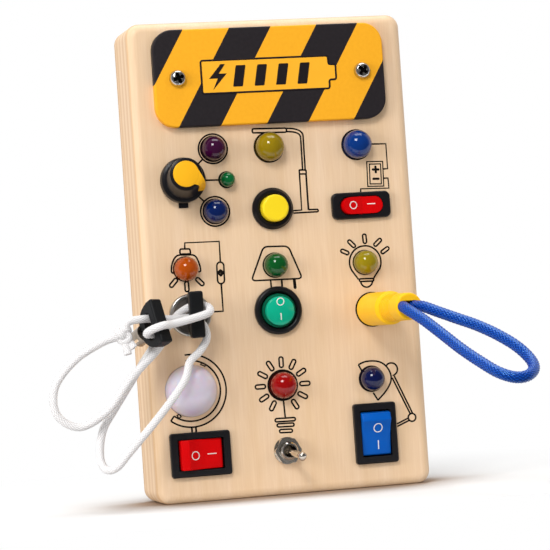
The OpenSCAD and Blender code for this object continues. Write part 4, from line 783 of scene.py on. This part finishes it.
# Each drawing's name, its strokes, and the node that it stands round.
DRAWINGS = (("selector", selector_lines, "knob"), ("street_lamp", street_lamp, "led_olive"),
            ("battery", battery_sign, "led_blue_upper"), ("pendant", pendant_lamp, "led_orange"),
            ("table_lamp", table_lamp, "led_green"), ("light_bulb", light_bulb, "led_lime"),
            ("globe_stand", globe_stand, "dome_lens"), ("glowing_bulb", glowing_bulb, "led_red"),
            ("desk_lamp", desk_lamp, "led_blue_desk"))


class BOARD_OT_line_art(bpy.types.Operator):
    """Prints the thin line drawings round the lamps"""
    bl_idname = "board.line_art"
    bl_label = "Print the line art"

    def execute(self, context):
        width = settings().ink.line_width / MM
        ink = moulded("screen_print_ink", "#0C0806", "#15100C", 0.6, {"Specular IOR Level": 0.1})
        for name, drawing, lamp in DRAWINGS:
            print_strokes("print_" + name, drawing(), flat_at(lamp), width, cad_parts["case"], "root",
                          ink)
        return {"FINISHED"}


class BOARD_OT_switch_marks(bpy.types.Operator):
    """Prints the on and off marks on the four rockers"""
    bl_idname = "board.switch_marks"
    bl_label = "Print the switch marks"

    def execute(self, context):
        width = settings().ink.mark_width / MM
        white = moulded("pad_print_white", "#F4F1EE", "#E7E2DE", 0.45)
        marks = (("mini_rocker", ring(26.0, 96.7, 1.25), stroke((31.2, 96.9), (34.1, 96.9))),
                 ("round_rocker", ring(-2.3, 65.5, 1.2), stroke((-2.3, 61.6), (-2.3, 59.3))),
                 ("red_rocker", ring(-34.8, 15.9, 1.35), stroke((-30.4, 16.1), (-27.3, 16.1))),
                 ("blue_rocker", ring(29.3, 20.3, 1.45), stroke((29.4, 16.0), (29.4, 13.0))))
        for body, *strokes in marks:
            base = bpy.data.objects.get(body + "_face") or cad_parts[body]
            print_strokes("marks_" + body, strokes, Vector((0, FRONT, 0)), width, base, body, white,
                          lift=0.02)
        return {"FINISHED"}


# ---------- metal, plastics and lamps ----------

# Turned profiles as [radius, height] in millimetres, above the front face; the lever's from its pivot.
KNOB_PROFILE = [(0, 0.8), (7.3, 0.8), (7.7, 1.2), (7.7, 3.0), (7.45, 3.7), (6.9, 4.0), (6.3, 4.1),
                (6.05, 4.5), (5.65, 12.0), (5.45, 12.7), (4.9, 13.0), (0, 13.0)]
CAP_PROFILE = [(0, 12.6), (4.4, 12.6), (4.4, 13.1), (4.25, 13.35), (3.9, 13.45), (0, 13.5)]
DISC_PROFILE = [(0, 1.0), (4.95, 1.0), (4.9, 3.5), (4.8, 3.75), (4.55, 3.9), (0, 3.9)]
COLLAR_PROFILE = [(0, -1.0), (5.75, -1.0), (5.75, 1.9), (5.6, 2.1), (5.2, 2.15), (0, 2.15)]
LEVER_PROFILE = [(0, -2.05), (1.2, -1.66), (1.9, -0.8), (2.05, 0), (1.8, 1.0), (1.2, 1.65), (1.0, 2.2),
                 (1.1, 8.6), (0.95, 9.1), (1.3, 9.5), (1.5, 9.95), (1.6, 10.5), (1.5, 11.1), (1.2, 11.6),
                 (0.7, 11.95), (0, 12.05)]
KNOB_SKIRT_TOP, KNOB_TOP = 4.1, 13.0
# How far the top of the grip leans to the right and up.
KNOB_LEAN = (-1.06, 1.44)
# The pointer's middle line: [right, up, height, width] from the knob's axis.
POINTER_PATH = [(0.6, 0.9, 13.35, 6.6), (1.9, 0.1, 13.35, 5.2), (3.1, -0.8, 13.25, 3.7),
                (4.0, -1.6, 12.9, 2.8), (4.6, -2.3, 11.9, 2.4), (4.9, -2.9, 10.2, 2.2),
                (5.05, -3.5, 8.2, 2.1), (5.1, -4.0, 6.2, 2.0)]
POINTER_T = 0.9
# Side view of the large rockers: [along, height] from the middle of the housing, the raised end last.
ROCKER_PROFILE = [(-7.4, -1.0), (-7.4, 1.7), (-6.9, 2.2), (-3.5, 1.8), (0, 1.85), (3.0, 2.4), (5.0, 3.35),
                  (7.4, 2.1), (7.4, -1.0)]
ROCKER_W = 10.1
ROCKER_REST, ROUND_REST = radians(9), radians(4)
ROCKER_EDGE = 0.3 * MM
# The lever's pivot above the front face, and its tip as [right, up, out] from there.
LEVER_PIVOT = 1.6
LEVER_TIP = (2.4, -1.9, 11.4)
SPRING_WIRE = 0.6
SPRING_TURNS = 4.5
WIRE_SIDES, STEPS_PER_TURN = 10, 48
SCREW_R = 2.9
SCREW_H = 2.2
# How deep the cross recess is, and half the width and reach of its arms.
RECESS_T, RECESS_W, RECESS_REACH = 1.1, 0.62, 1.9
LOCK_FACE_R = 5.9
# Plastics that only need a finish: its name, two colours and roughness, and the nodes that get it.
SIMPLE_PLASTICS = (("key_black_nylon", "#0D0E10", "#151618", 0.5, "key_bow", "spare_key_bow"),
                   ("button_yellow_abs", "#F8DC24", "#F0CF1A", 0.3, "button_cap"),
                   ("soft_yellow_pvc", "#FFC819", "#F9BA0E", 0.45, "plug_body"),
                   ("wire_jacket_red", "#B8201C", "#A31814", 0.45, "wiring_red"),
                   ("wire_jacket_black", "#1A1A1C", "#242426", 0.45, "wiring_black"),
                   ("cell_jacket_film", "#C9812A", "#B87322", 0.25, "battery_cells"),
                   ("lamp_carrier_white", "#F1EFEA", "#E4E1DA", 0.4, "dome_led"))
# The LEDs' tints: the foot's colour, and the lighter colour painted on the nose as light.
TINTS = (("led_purple", "#1C0319", "#38062F"), ("led_green_small", "#023415", "#046C34"),
         ("led_blue_lower", "#010C2C", "#021B54"), ("led_olive", "#554503", "#907808"),
         ("led_blue_upper", "#011C4E", "#02327A"), ("led_orange", "#722802", "#B04A03"),
         ("led_green", "#022B0D", "#03521E"), ("led_lime", "#5A4E03", "#94820D"),
         ("led_red", "#560102", "#980203"), ("led_blue_desk", "#030728", "#050F44"))


def screw_head(bm, at, turn):
    """A pan head with a cross recess, as a fine polar grid raised by its height at each place."""
    rings, sides = 26, 120
    recess = bm.verts.layers.float.get("recess") or bm.verts.layers.float.new("recess")
    centre = bm.verts.new(at)
    loops = [[bm.verts.new(at + Vector((SCREW_R * MM * k / rings * cos(tau * j / sides), 0,
                                        SCREW_R * MM * k / rings * sin(tau * j / sides))))
              for j in range(sides)] for k in range(1, rings + 1)]
    for j in range(sides):
        bm.faces.new((centre, loops[0][j], loops[0][(j + 1) % sides]))
        for a, b in zip(loops, loops[1:]):
            bm.faces.new((a[j], b[j], b[(j + 1) % sides], a[(j + 1) % sides]))
    for v in [centre, *(v for loop in loops for v in loop)]:
        x, z = (v.co.x - at.x) / MM, (v.co.z - at.z) / MM
        u, w = abs(x * cos(turn) + z * sin(turn)), abs(z * cos(turn) - x * sin(turn))
        dome = SCREW_H * max(0, 1 - ((x * x + z * z) / SCREW_R ** 2) ** 2) ** 0.5
        # The share of the cross recess at each place: it sinks the head there, and plated_steel paints it
        # dark as shade.
        v[recess] = max(min(1, max(0, (RECESS_W - a) / 0.15)) * min(1, max(0, (RECESS_REACH - b) / 0.4))
                        for a, b in ((u, w), (w, u)))
        v.co.y -= (dome - RECESS_T * v[recess]) * MM


class BOARD_OT_metal(bpy.types.Operator):
    """Finishes screws, nuts, the toggle, the lock, the keys' tubes, the spring and the contacts"""
    bl_idname = "board.metal"
    bl_label = "Finish the metal"

    def execute(self, context):
        zinc = plated_steel("zinc_plated_steel", "#E4E2E0", "#B5B1AD", 0.2)
        dress(zinc, "cover_screws", "door_screw")
        nickel = plated_steel("nickel_plated_brass", "#EAE4DC", "#BDB3A6", 0.16)
        dress(nickel, "toggle_body", "toggle_nut", "jack_nut", "lock_nut", "plug_pin", "rotary_shaft")
        lo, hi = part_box("sign_screws")
        sign_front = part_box("sign_plate")[0][1]
        bm = bmesh.new()
        for x, turn in ((lo[0] + SCREW_R * MM, 0.35), (hi[0] - SCREW_R * MM, 0.9)):
            screw_head(bm, Vector((x, sign_front, (lo[2] + hi[2]) / 2)), turn)
        part("sign_screw_heads", bm, zinc, "root", "zinc_steel", "sign_screws")
        pivot = flat_at("toggle_body") + offset(0, 0, LEVER_PIVOT)
        bm = bmesh.new()
        spun(bm, LEVER_PROFILE, pivot, 40)
        aim = offset(*LEVER_TIP).normalized()
        bmesh.ops.rotate(bm, cent=pivot, matrix=Vector((0, -1, 0)).rotation_difference(aim).to_matrix(),
                         verts=bm.verts)
        part("toggle_lever_ball", bm, nickel, "toggle_lever", "nickel", "toggle_lever")
        dress(plated_steel("nickel_key_tube", "#B9ADA0", "#85796C", 0.26), "key_blade", "spare_key_blade")
        lock = flat_at("lock_barrel")
        dress(turned_nickel("turned_nickel", lock, LOCK_FACE_R * MM), "lock_barrel", "lock_rotor")
        wire = plated_steel("spring_wire", "#BDBDBD", "#8F8F8F", 0.3)
        dress(wire, "battery_contacts", "led_leads")
        self.spring(wire)
        dress(plated_steel("stamped_brass", "#D8B56A", "#B08D45", 0.3), "switch_terminals")
        return {"FINISHED"}

    def spring(self, wire):
        """The push button's return spring, wound from its seat towards the cap."""
        lo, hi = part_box("button_spring")
        seat = Vector(((lo[0] + hi[0]) / 2, hi[1], (lo[2] + hi[2]) / 2))
        wire_r = SPRING_WIRE / 2 * MM
        coil_r = (hi[0] - lo[0]) / 2 - wire_r
        rise = hi[1] - lo[1] - 2 * wire_r
        bm = bmesh.new()
        turns = [tau * k / WIRE_SIDES for k in range(WIRE_SIDES)]
        rim = [bm.verts.new(seat + Vector((coil_r + wire_r * cos(t), wire_r * (sin(t) - 1), 0)))
               for t in turns]
        loop = [bm.edges.new(pair) for pair in zip(rim, rim[1:] + rim[:1])]
        steps = round(SPRING_TURNS * STEPS_PER_TURN)
        bmesh.ops.spin(bm, geom=rim + loop, cent=seat, axis=(0, 1, 0), dvec=(0, -rise / steps, 0),
                       angle=tau * SPRING_TURNS, steps=steps)
        bmesh.ops.holes_fill(bm, edges=[e for e in bm.edges if e.is_boundary], sides=0)
        piece = part("button_spring_coil", bm, wire, "root", "spring_steel", "button_spring")
        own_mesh(piece)


class BOARD_OT_plastics(bpy.types.Operator):
    """Finishes the switches, the knob, the keys, the plug, the wires and the battery box"""
    bl_idname = "board.plastics"
    bl_label = "Finish the plastics"

    def execute(self, context):
        black = moulded("moulded_black_abs", "#121114", "#1A191C", 0.32)
        dress(black, "rotary_switch", "rotary_nut", "button_housing", "button_nut", "mini_rocker_housing",
              "round_rocker_housing", "red_rocker_housing", "blue_rocker_housing", "jack_socket",
              "battery_box", "battery_door")
        self.knob(black, moulded("moulded_yellow_abs", "#F8B81C", "#F0AC14", 0.35))
        red = moulded("rocker_red_abs", "#D80509", "#CA0408", 0.35, {"Specular IOR Level": 0.06})
        dress(red, "mini_rocker")
        self.rocker("red_rocker", (-1, 0), red, "red_plastic")
        blue = moulded("rocker_blue_abs", "#035CBE", "#0354AE", 0.3, {"Specular IOR Level": 0.12})
        self.rocker("blue_rocker", (0, 1), blue, "blue_plastic")
        self.round_rocker()
        for name, colour, shade, roughness, *nodes in SIMPLE_PLASTICS:
            dress(moulded(name, colour, shade, roughness), *nodes)
        return {"FINISHED"}

    def knob(self, black, yellow):
        """The knob's smooth body, and its cap with the pointer bent down its flank."""
        at = flat_at("knob")
        bm = bmesh.new()
        spun(bm, KNOB_PROFILE, at)
        # The grip leans away from the pointer.
        for v in bm.verts:
            share = max(0, (FRONT - v.co.y) / MM - KNOB_SKIRT_TOP) / (KNOB_TOP - KNOB_SKIRT_TOP)
            v.co += share * offset(*KNOB_LEAN)
        part("knob_body", bm, black, "knob", "black_abs", "knob")
        bm = bmesh.new()
        spun(bm, CAP_PROFILE, at + offset(*KNOB_LEAN))
        ribs = []
        for i, (x, z, h, w) in enumerate(POINTER_PATH):
            before, after = POINTER_PATH[max(i - 1, 0)], POINTER_PATH[min(i + 1, len(POINTER_PATH) - 1)]
            ahead = Vector((after[0] - before[0], before[2] - after[2], after[1] - before[1])).normalized()
            side = Vector((-ahead.z, 0, ahead.x)).normalized() * w / 2 * MM
            down = ahead.cross(side).normalized() * POINTER_T * MM
            down *= -1 if down.y < 0 else 1
            top = at + offset(x, z, h)
            ribs.append([bm.verts.new(c) for c in (top - side, top + side, top + side + down,
                                                   top - side + down)])
        for a, b in zip(ribs, ribs[1:]):
            for k in range(4):
                bm.faces.new((a[k], a[(k + 1) % 4], b[(k + 1) % 4], b[k]))
        bm.faces.new(ribs[0])
        bm.faces.new(ribs[-1])
        part("knob_pointer_cap", bm, yellow, "knob", "yellow_plastic", "knob_cap")

    def rocker(self, name, way, material, slot):
        """A rocker whose raised end falls off in a facet; way is the direction of that end."""
        at = flat_at(name + "_housing")
        across = Vector((abs(way[1]), 0, abs(way[0]))) * ROCKER_W * MM / 2
        ends = []
        for shift in (across, -across):
            outline = []
            for s, h in ROCKER_PROFILE:
                out = h * cos(ROCKER_REST) + s * sin(ROCKER_REST)
                along = s * cos(ROCKER_REST) - h * sin(ROCKER_REST)
                outline.append(at + shift + offset(way[0] * along, way[1] * along, out))
            ends.append(outline)
        bm = bmesh.new()
        near, far = ([bm.verts.new(c) for c in end] for end in ends)
        bm.faces.new(near)
        bm.faces.new(far)
        for i in range(len(near)):
            j = (i + 1) % len(near)
            bm.faces.new((near[i], near[j], far[j], far[i]))
        bmesh.ops.recalc_face_normals(bm, faces=bm.faces)
        bmesh.ops.bevel(bm, geom=[e for e in bm.edges if e.calc_face_angle(0) > radians(25)],
                        offset=ROCKER_EDGE, segments=3, profile=0.5, affect="EDGES", material=-1)
        part(name + "_face", bm, material, name, slot, name)

    def round_rocker(self):
        """The round rocker's emerald disc in its collar, whose green is painted darker as shade."""
        at = flat_at("round_rocker_housing")
        emerald = {"Coat Weight": 0.3, "Coat Roughness": 0.08}
        lean = Matrix.Rotation(ROUND_REST, 3, "X")
        # The collar's green is painted darker than the disc's, as the shade of the well it sits in.
        for name, profile, colour, shade, nodes in (
                ("round_rocker_face", DISC_PROFILE, "#04B48E", "#04A07E", ("round_rocker",)),
                ("round_rocker_collar", COLLAR_PROFILE, "#04664A", "#03543C", ())):
            bm = bmesh.new()
            spun(bm, profile, at)
            bmesh.ops.rotate(bm, cent=at, matrix=lean, verts=bm.verts)
            part(name, bm, moulded(name + "_clear", colour, shade, 0.2, emerald), "round_rocker",
                 "green_plastic", *nodes)


class BOARD_OT_lamps(bpy.types.Operator):
    """Finishes the ten tinted LEDs and the frosted dome"""
    bl_idname = "board.lamps"
    bl_label = "Finish the lamps"

    def execute(self, context):
        for name, colour, glow in TINTS:
            dress(tinted_epoxy("tinted_epoxy_" + name[4:], colour, glow), name)
        dress(frosted_polycarbonate("frosted_polycarbonate"), "dome_lens")
        return {"FINISHED"}


# ---------- stage ----------

CAMERA_AT = (-199.4 * MM, -803.3 * MM, 58.3 * MM)
CAMERA_YAW = radians(13.98)
CAMERA_PITCH = radians(-1.15)
CAMERA_ROLL = radians(-3.96)
CAMERA_LENS = 157.1
# Each softbox: its name, its place and size in metres, and whether gloss shows it.
SOFTBOXES = (("key", (-0.42, -0.85, 0.75), 0.36, True), ("left", (-0.92, -0.4, 0.25), 0.5, False),
             ("top", (0.1, 0.0, 0.95), 0.6, True), ("side", (0.75, -0.75, 0.25), 0.4, False))
AIM = Vector((0, 0, 0.08))
# The floor fades to plain white between these distances from the board's middle.
FADE_START, FADE_END = 0.06, 0.2
# How far from the board's foot shade is painted on the floor.
CONTACT_REACH = 34 * MM
CONTACT_SHADE = "#A08A78"
# How open the floor is where that shade is full, and where it ends.
SHADE_FULL, SHADE_NONE = 0.6, 0.97
# The Y part of a direction at which the dim room ends in gloss, and at which full white begins.
ROOM_START, ROOM_END = -0.2, 0.3


class BOARD_OT_stage(bpy.types.Operator):
    """Sets up the camera, the pale floor and the soft studio lamps"""
    bl_idname = "board.stage"
    bl_label = "Set the stage"

    def execute(self, context):
        scene = context.scene
        scene.view_settings.view_transform = "Standard"
        self.camera(scene)
        self.floor()
        self.world(scene)
        for name, at, size, mirrored in SOFTBOXES:
            self.lamp(name + "_softbox", at, size, getattr(settings().stage, name + "_power"), mirrored)
        return {"FINISHED"}

    def camera(self, scene):
        """A long lens, slightly left of the board and rolled."""
        lens = bpy.data.cameras.new("board_camera")
        lens.lens = CAMERA_LENS
        camera = bpy.data.objects.new("board_camera", lens)
        upright = Matrix(((1, 0, 0), (0, 0, -1), (0, 1, 0)))
        turned = (Matrix.Rotation(CAMERA_ROLL, 3, "Z") @ Matrix.Rotation(CAMERA_PITCH, 3, "X") @ upright
                  @ Matrix.Rotation(CAMERA_YAW, 3, "Z"))
        axes = Matrix((turned[0], -turned[1], -turned[2])).transposed()
        camera.matrix_world = Matrix.Translation(CAMERA_AT) @ axes.to_4x4()
        scene.collection.objects.link(camera)
        scene.camera = camera

    def floor(self):
        """A pale floor that takes the board's shadow and fades to white further out."""
        stage = settings().stage
        material, tree, shader, place = new_material("studio_floor", {"Roughness": 0.9})
        away = add(tree, "VectorMath", {0: place}, operation="LENGTH").outputs["Value"]
        fade = spread(tree, away, 0, 1, FADE_START, FADE_END, interpolation_type="SMOOTHSTEP")
        seen = ray_is(tree, "Camera", "Glossy", "Transmission")
        # Warm shade is painted on the floor close to the board's foot, where it is closed in.
        near = add(tree, "AmbientOcclusion", {"Distance": CONTACT_REACH}, samples=16).outputs["AO"]
        openness = spread(tree, near, 0, 1, SHADE_FULL, SHADE_NONE)
        shaded = mix(tree, openness, CONTACT_SHADE, (*stage.floor_colour, 1))
        # The floor is pale to the eye, and darker as a source of light from below.
        wire_up(tree, shader, {"Base Color": mix(tree, seen, (*stage.floor_bounce, 1), shaded)})
        glow = add(tree, "Emission", {"Color": (1, 1, 1, 1), "Strength": 1.0}).outputs[0]
        both = add(tree, "MixShader", {0: maths(tree, "MULTIPLY", seen, fade), 1: shader.outputs[0], 2: glow})
        wire_up(tree, tree.nodes["Material Output"], {"Surface": both.outputs[0]})
        bm = bmesh.new()
        bmesh.ops.create_grid(bm, x_segments=8, y_segments=8, size=1)
        # It ends a little in front of the board, so that gloss there sees the dim room.
        bmesh.ops.translate(bm, vec=(0, 0.9, 0), verts=bm.verts)
        piece = new_object("studio_floor", mesh_of(bm, "studio_floor"), material)

    def world(self, scene):
        """White surroundings: full white where they are seen, and a softer level as light."""
        stage = settings().stage
        scene.world = bpy.data.worlds.new("studio")
        scene.world.use_nodes = True
        tree = scene.world.node_tree
        toward = add(tree, "SeparateXYZ", {"Vector": add(tree, "TexCoord").outputs["Generated"]})
        # Gloss sees the white backdrop behind the board and a dim room in front of it.
        room = spread(tree, toward.outputs["Y"], stage.room_light, 1, ROOM_START, ROOM_END)
        mirrored = spread(tree, ray_is(tree, "Glossy"), stage.world_light, room)
        strength = spread(tree, ray_is(tree, "Camera", "Transmission"), mirrored, 1)
        wire_up(tree, tree.nodes["Background"], {"Color": (1, 1, 1, 1), "Strength": strength})

    def lamp(self, name, at, size, power, mirrored):
        """A square softbox that points at the board's middle."""
        light = bpy.data.lights.new(name, "AREA")
        light.size = size
        light.energy = power
        lamp = bpy.data.objects.new(name, light)
        lamp.location = at
        lamp.visible_glossy = mirrored
        lamp.rotation_mode = "QUATERNION"
        lamp.rotation_quaternion = (AIM - Vector(at)).to_track_quat("-Z", "Y")
        bpy.context.scene.collection.objects.link(lamp)


# ---------- settings, panel and registration ----------

class BoardStageSettings(bpy.types.PropertyGroup):
    """Floor, lamps and surroundings."""

    floor_colour: FloatVectorProperty(name="Floor", description="Colour of the floor", subtype="COLOR",
                                      size=3, min=0, max=1, default=(0.92, 0.92, 0.92))
    floor_bounce: FloatVectorProperty(name="Floor bounce", subtype="COLOR", size=3, min=0, max=1,
                                      description="Colour of the floor as a light from below",
                                      default=(0.6, 0.6, 0.6))
    key_power: FloatProperty(name="Key lamp", description="Power of the softbox at the upper left",
                             default=6.2, min=0, unit="POWER")
    left_power: FloatProperty(name="Left lamp", description="Power of the softbox on the left", default=5.5,
                              min=0, unit="POWER")
    top_power: FloatProperty(name="Top lamp", description="Power of the softbox above", default=4.2, min=0,
                             unit="POWER")
    side_power: FloatProperty(name="Side lamp", description="Power of the softbox on the right",
                              default=1.6, min=0, unit="POWER")
    world_light: FloatProperty(name="Surroundings", description="Strength of the white surroundings as light",
                               default=0.4, min=0, max=2)
    room_light: FloatProperty(name="Room", description="Strength of the room that gloss sees in front",
                              default=0.12, min=0, max=1)


class BoardPaintSettings(bpy.types.PropertyGroup):
    """Colours of the sign."""

    yellow: FloatVectorProperty(name="Yellow", description="Yellow of the sign", subtype="COLOR", size=3,
                                min=0, max=1, default=linear("#F8B225")[:3])
    yellow_shade: FloatVectorProperty(name="Yellow shade", description="Second yellow of the sign's paint",
                                      subtype="COLOR", size=3, min=0, max=1, default=linear("#EFA41C")[:3])
    black: FloatVectorProperty(name="Black", description="Black of the sign's stripes", subtype="COLOR",
                               size=3, min=0, max=1, default=linear("#1E1A1D")[:3])


class BoardInkSettings(bpy.types.PropertyGroup):
    """Widths of what is printed."""

    line_width: FloatProperty(name="Line", description="Width of the printed lines", default=0.66 * MM,
                              min=0.1 * MM, max=2 * MM, unit="LENGTH", precision=5)
    mark_width: FloatProperty(name="Mark", description="Width of the marks on the rockers",
                              default=0.38 * MM, min=0.1 * MM, max=2 * MM, unit="LENGTH", precision=5)


class BoardCordSettings(bpy.types.PropertyGroup):
    """Sizes of the braided cords."""

    white_diameter: FloatProperty(name="White cord", description="Diameter of the white cord",
                                  default=2.7 * MM, min=MM, max=4 * MM, unit="LENGTH", precision=5)
    blue_diameter: FloatProperty(name="Blue cord", description="Diameter of the blue cord",
                                 default=3.8 * MM, min=MM, max=6 * MM, unit="LENGTH", precision=5)
    white_plaits: IntProperty(name="White plaits", description="Plaits of one family round the white cord",
                              default=10, min=3, max=24)
    blue_plaits: IntProperty(name="Blue plaits", description="Plaits of one family round the blue cord",
                             default=12, min=3, max=24)
    plait_length: FloatProperty(name="Plait length", description="Length along the cord of one crossing",
                                default=1.4 * MM, min=0.3 * MM, max=6 * MM, unit="LENGTH", precision=5)
    ring_step: FloatProperty(name="Step", description="Distance between the rings of the braid's mesh",
                             default=0.25 * MM, min=0.1 * MM, max=2 * MM, unit="LENGTH", precision=5)


class BoardSettings(bpy.types.PropertyGroup):
    """All settings of the board."""

    stage: PointerProperty(type=BoardStageSettings, name="Stage", description="Floor and lamps")
    paint: PointerProperty(type=BoardPaintSettings, name="Paint", description="Colours of the sign")
    ink: PointerProperty(type=BoardInkSettings, name="Ink", description="Widths of the printed lines")
    cords: PointerProperty(type=BoardCordSettings, name="Cords", description="Sizes of the braided cords")


OPERATORS = (BOARD_OT_stage, BOARD_OT_cords, BOARD_OT_wood, BOARD_OT_hole_edges, BOARD_OT_sign,
             BOARD_OT_line_art, BOARD_OT_metal, BOARD_OT_plastics, BOARD_OT_switch_marks, BOARD_OT_lamps)


class BOARD_PT_panel(bpy.types.Panel):
    """Lists the board's settings and steps"""
    bl_idname = "BOARD_PT_panel"
    bl_label = "Busy board"
    bl_space_type = "VIEW_3D"
    bl_region_type = "UI"
    bl_category = "Busy board"

    def draw(self, context):
        board = context.scene.busy_board
        for group in (board.stage, board.paint, board.ink, board.cords):
            box = self.layout.box()
            for name in group.__annotations__:
                box.prop(group, name)
        for operator in OPERATORS:
            self.layout.operator(operator.bl_idname)


CLASSES = (BoardStageSettings, BoardPaintSettings, BoardInkSettings, BoardCordSettings, BoardSettings,
           *OPERATORS, BOARD_PT_panel)


def register():
    """Adds the board's classes and settings to Blender."""
    for entry in CLASSES:
        bpy.utils.register_class(entry)
    bpy.types.Scene.busy_board = PointerProperty(type=BoardSettings)


def unregister():
    """Takes the board's settings and classes out of Blender."""
    del bpy.types.Scene.busy_board
    for entry in reversed(CLASSES):
        bpy.utils.unregister_class(entry)


def main():
    """Dresses the board and sets its stage."""
    register()
    bpy.ops.board.stage()
    bpy.ops.board.cords()
    bpy.ops.board.wood()
    bpy.ops.board.hole_edges()
    bpy.ops.board.sign()
    bpy.ops.board.line_art()
    bpy.ops.board.metal()
    bpy.ops.board.plastics()
    bpy.ops.board.switch_marks()
    bpy.ops.board.lamps()


if __name__ == "__main__":
    main()
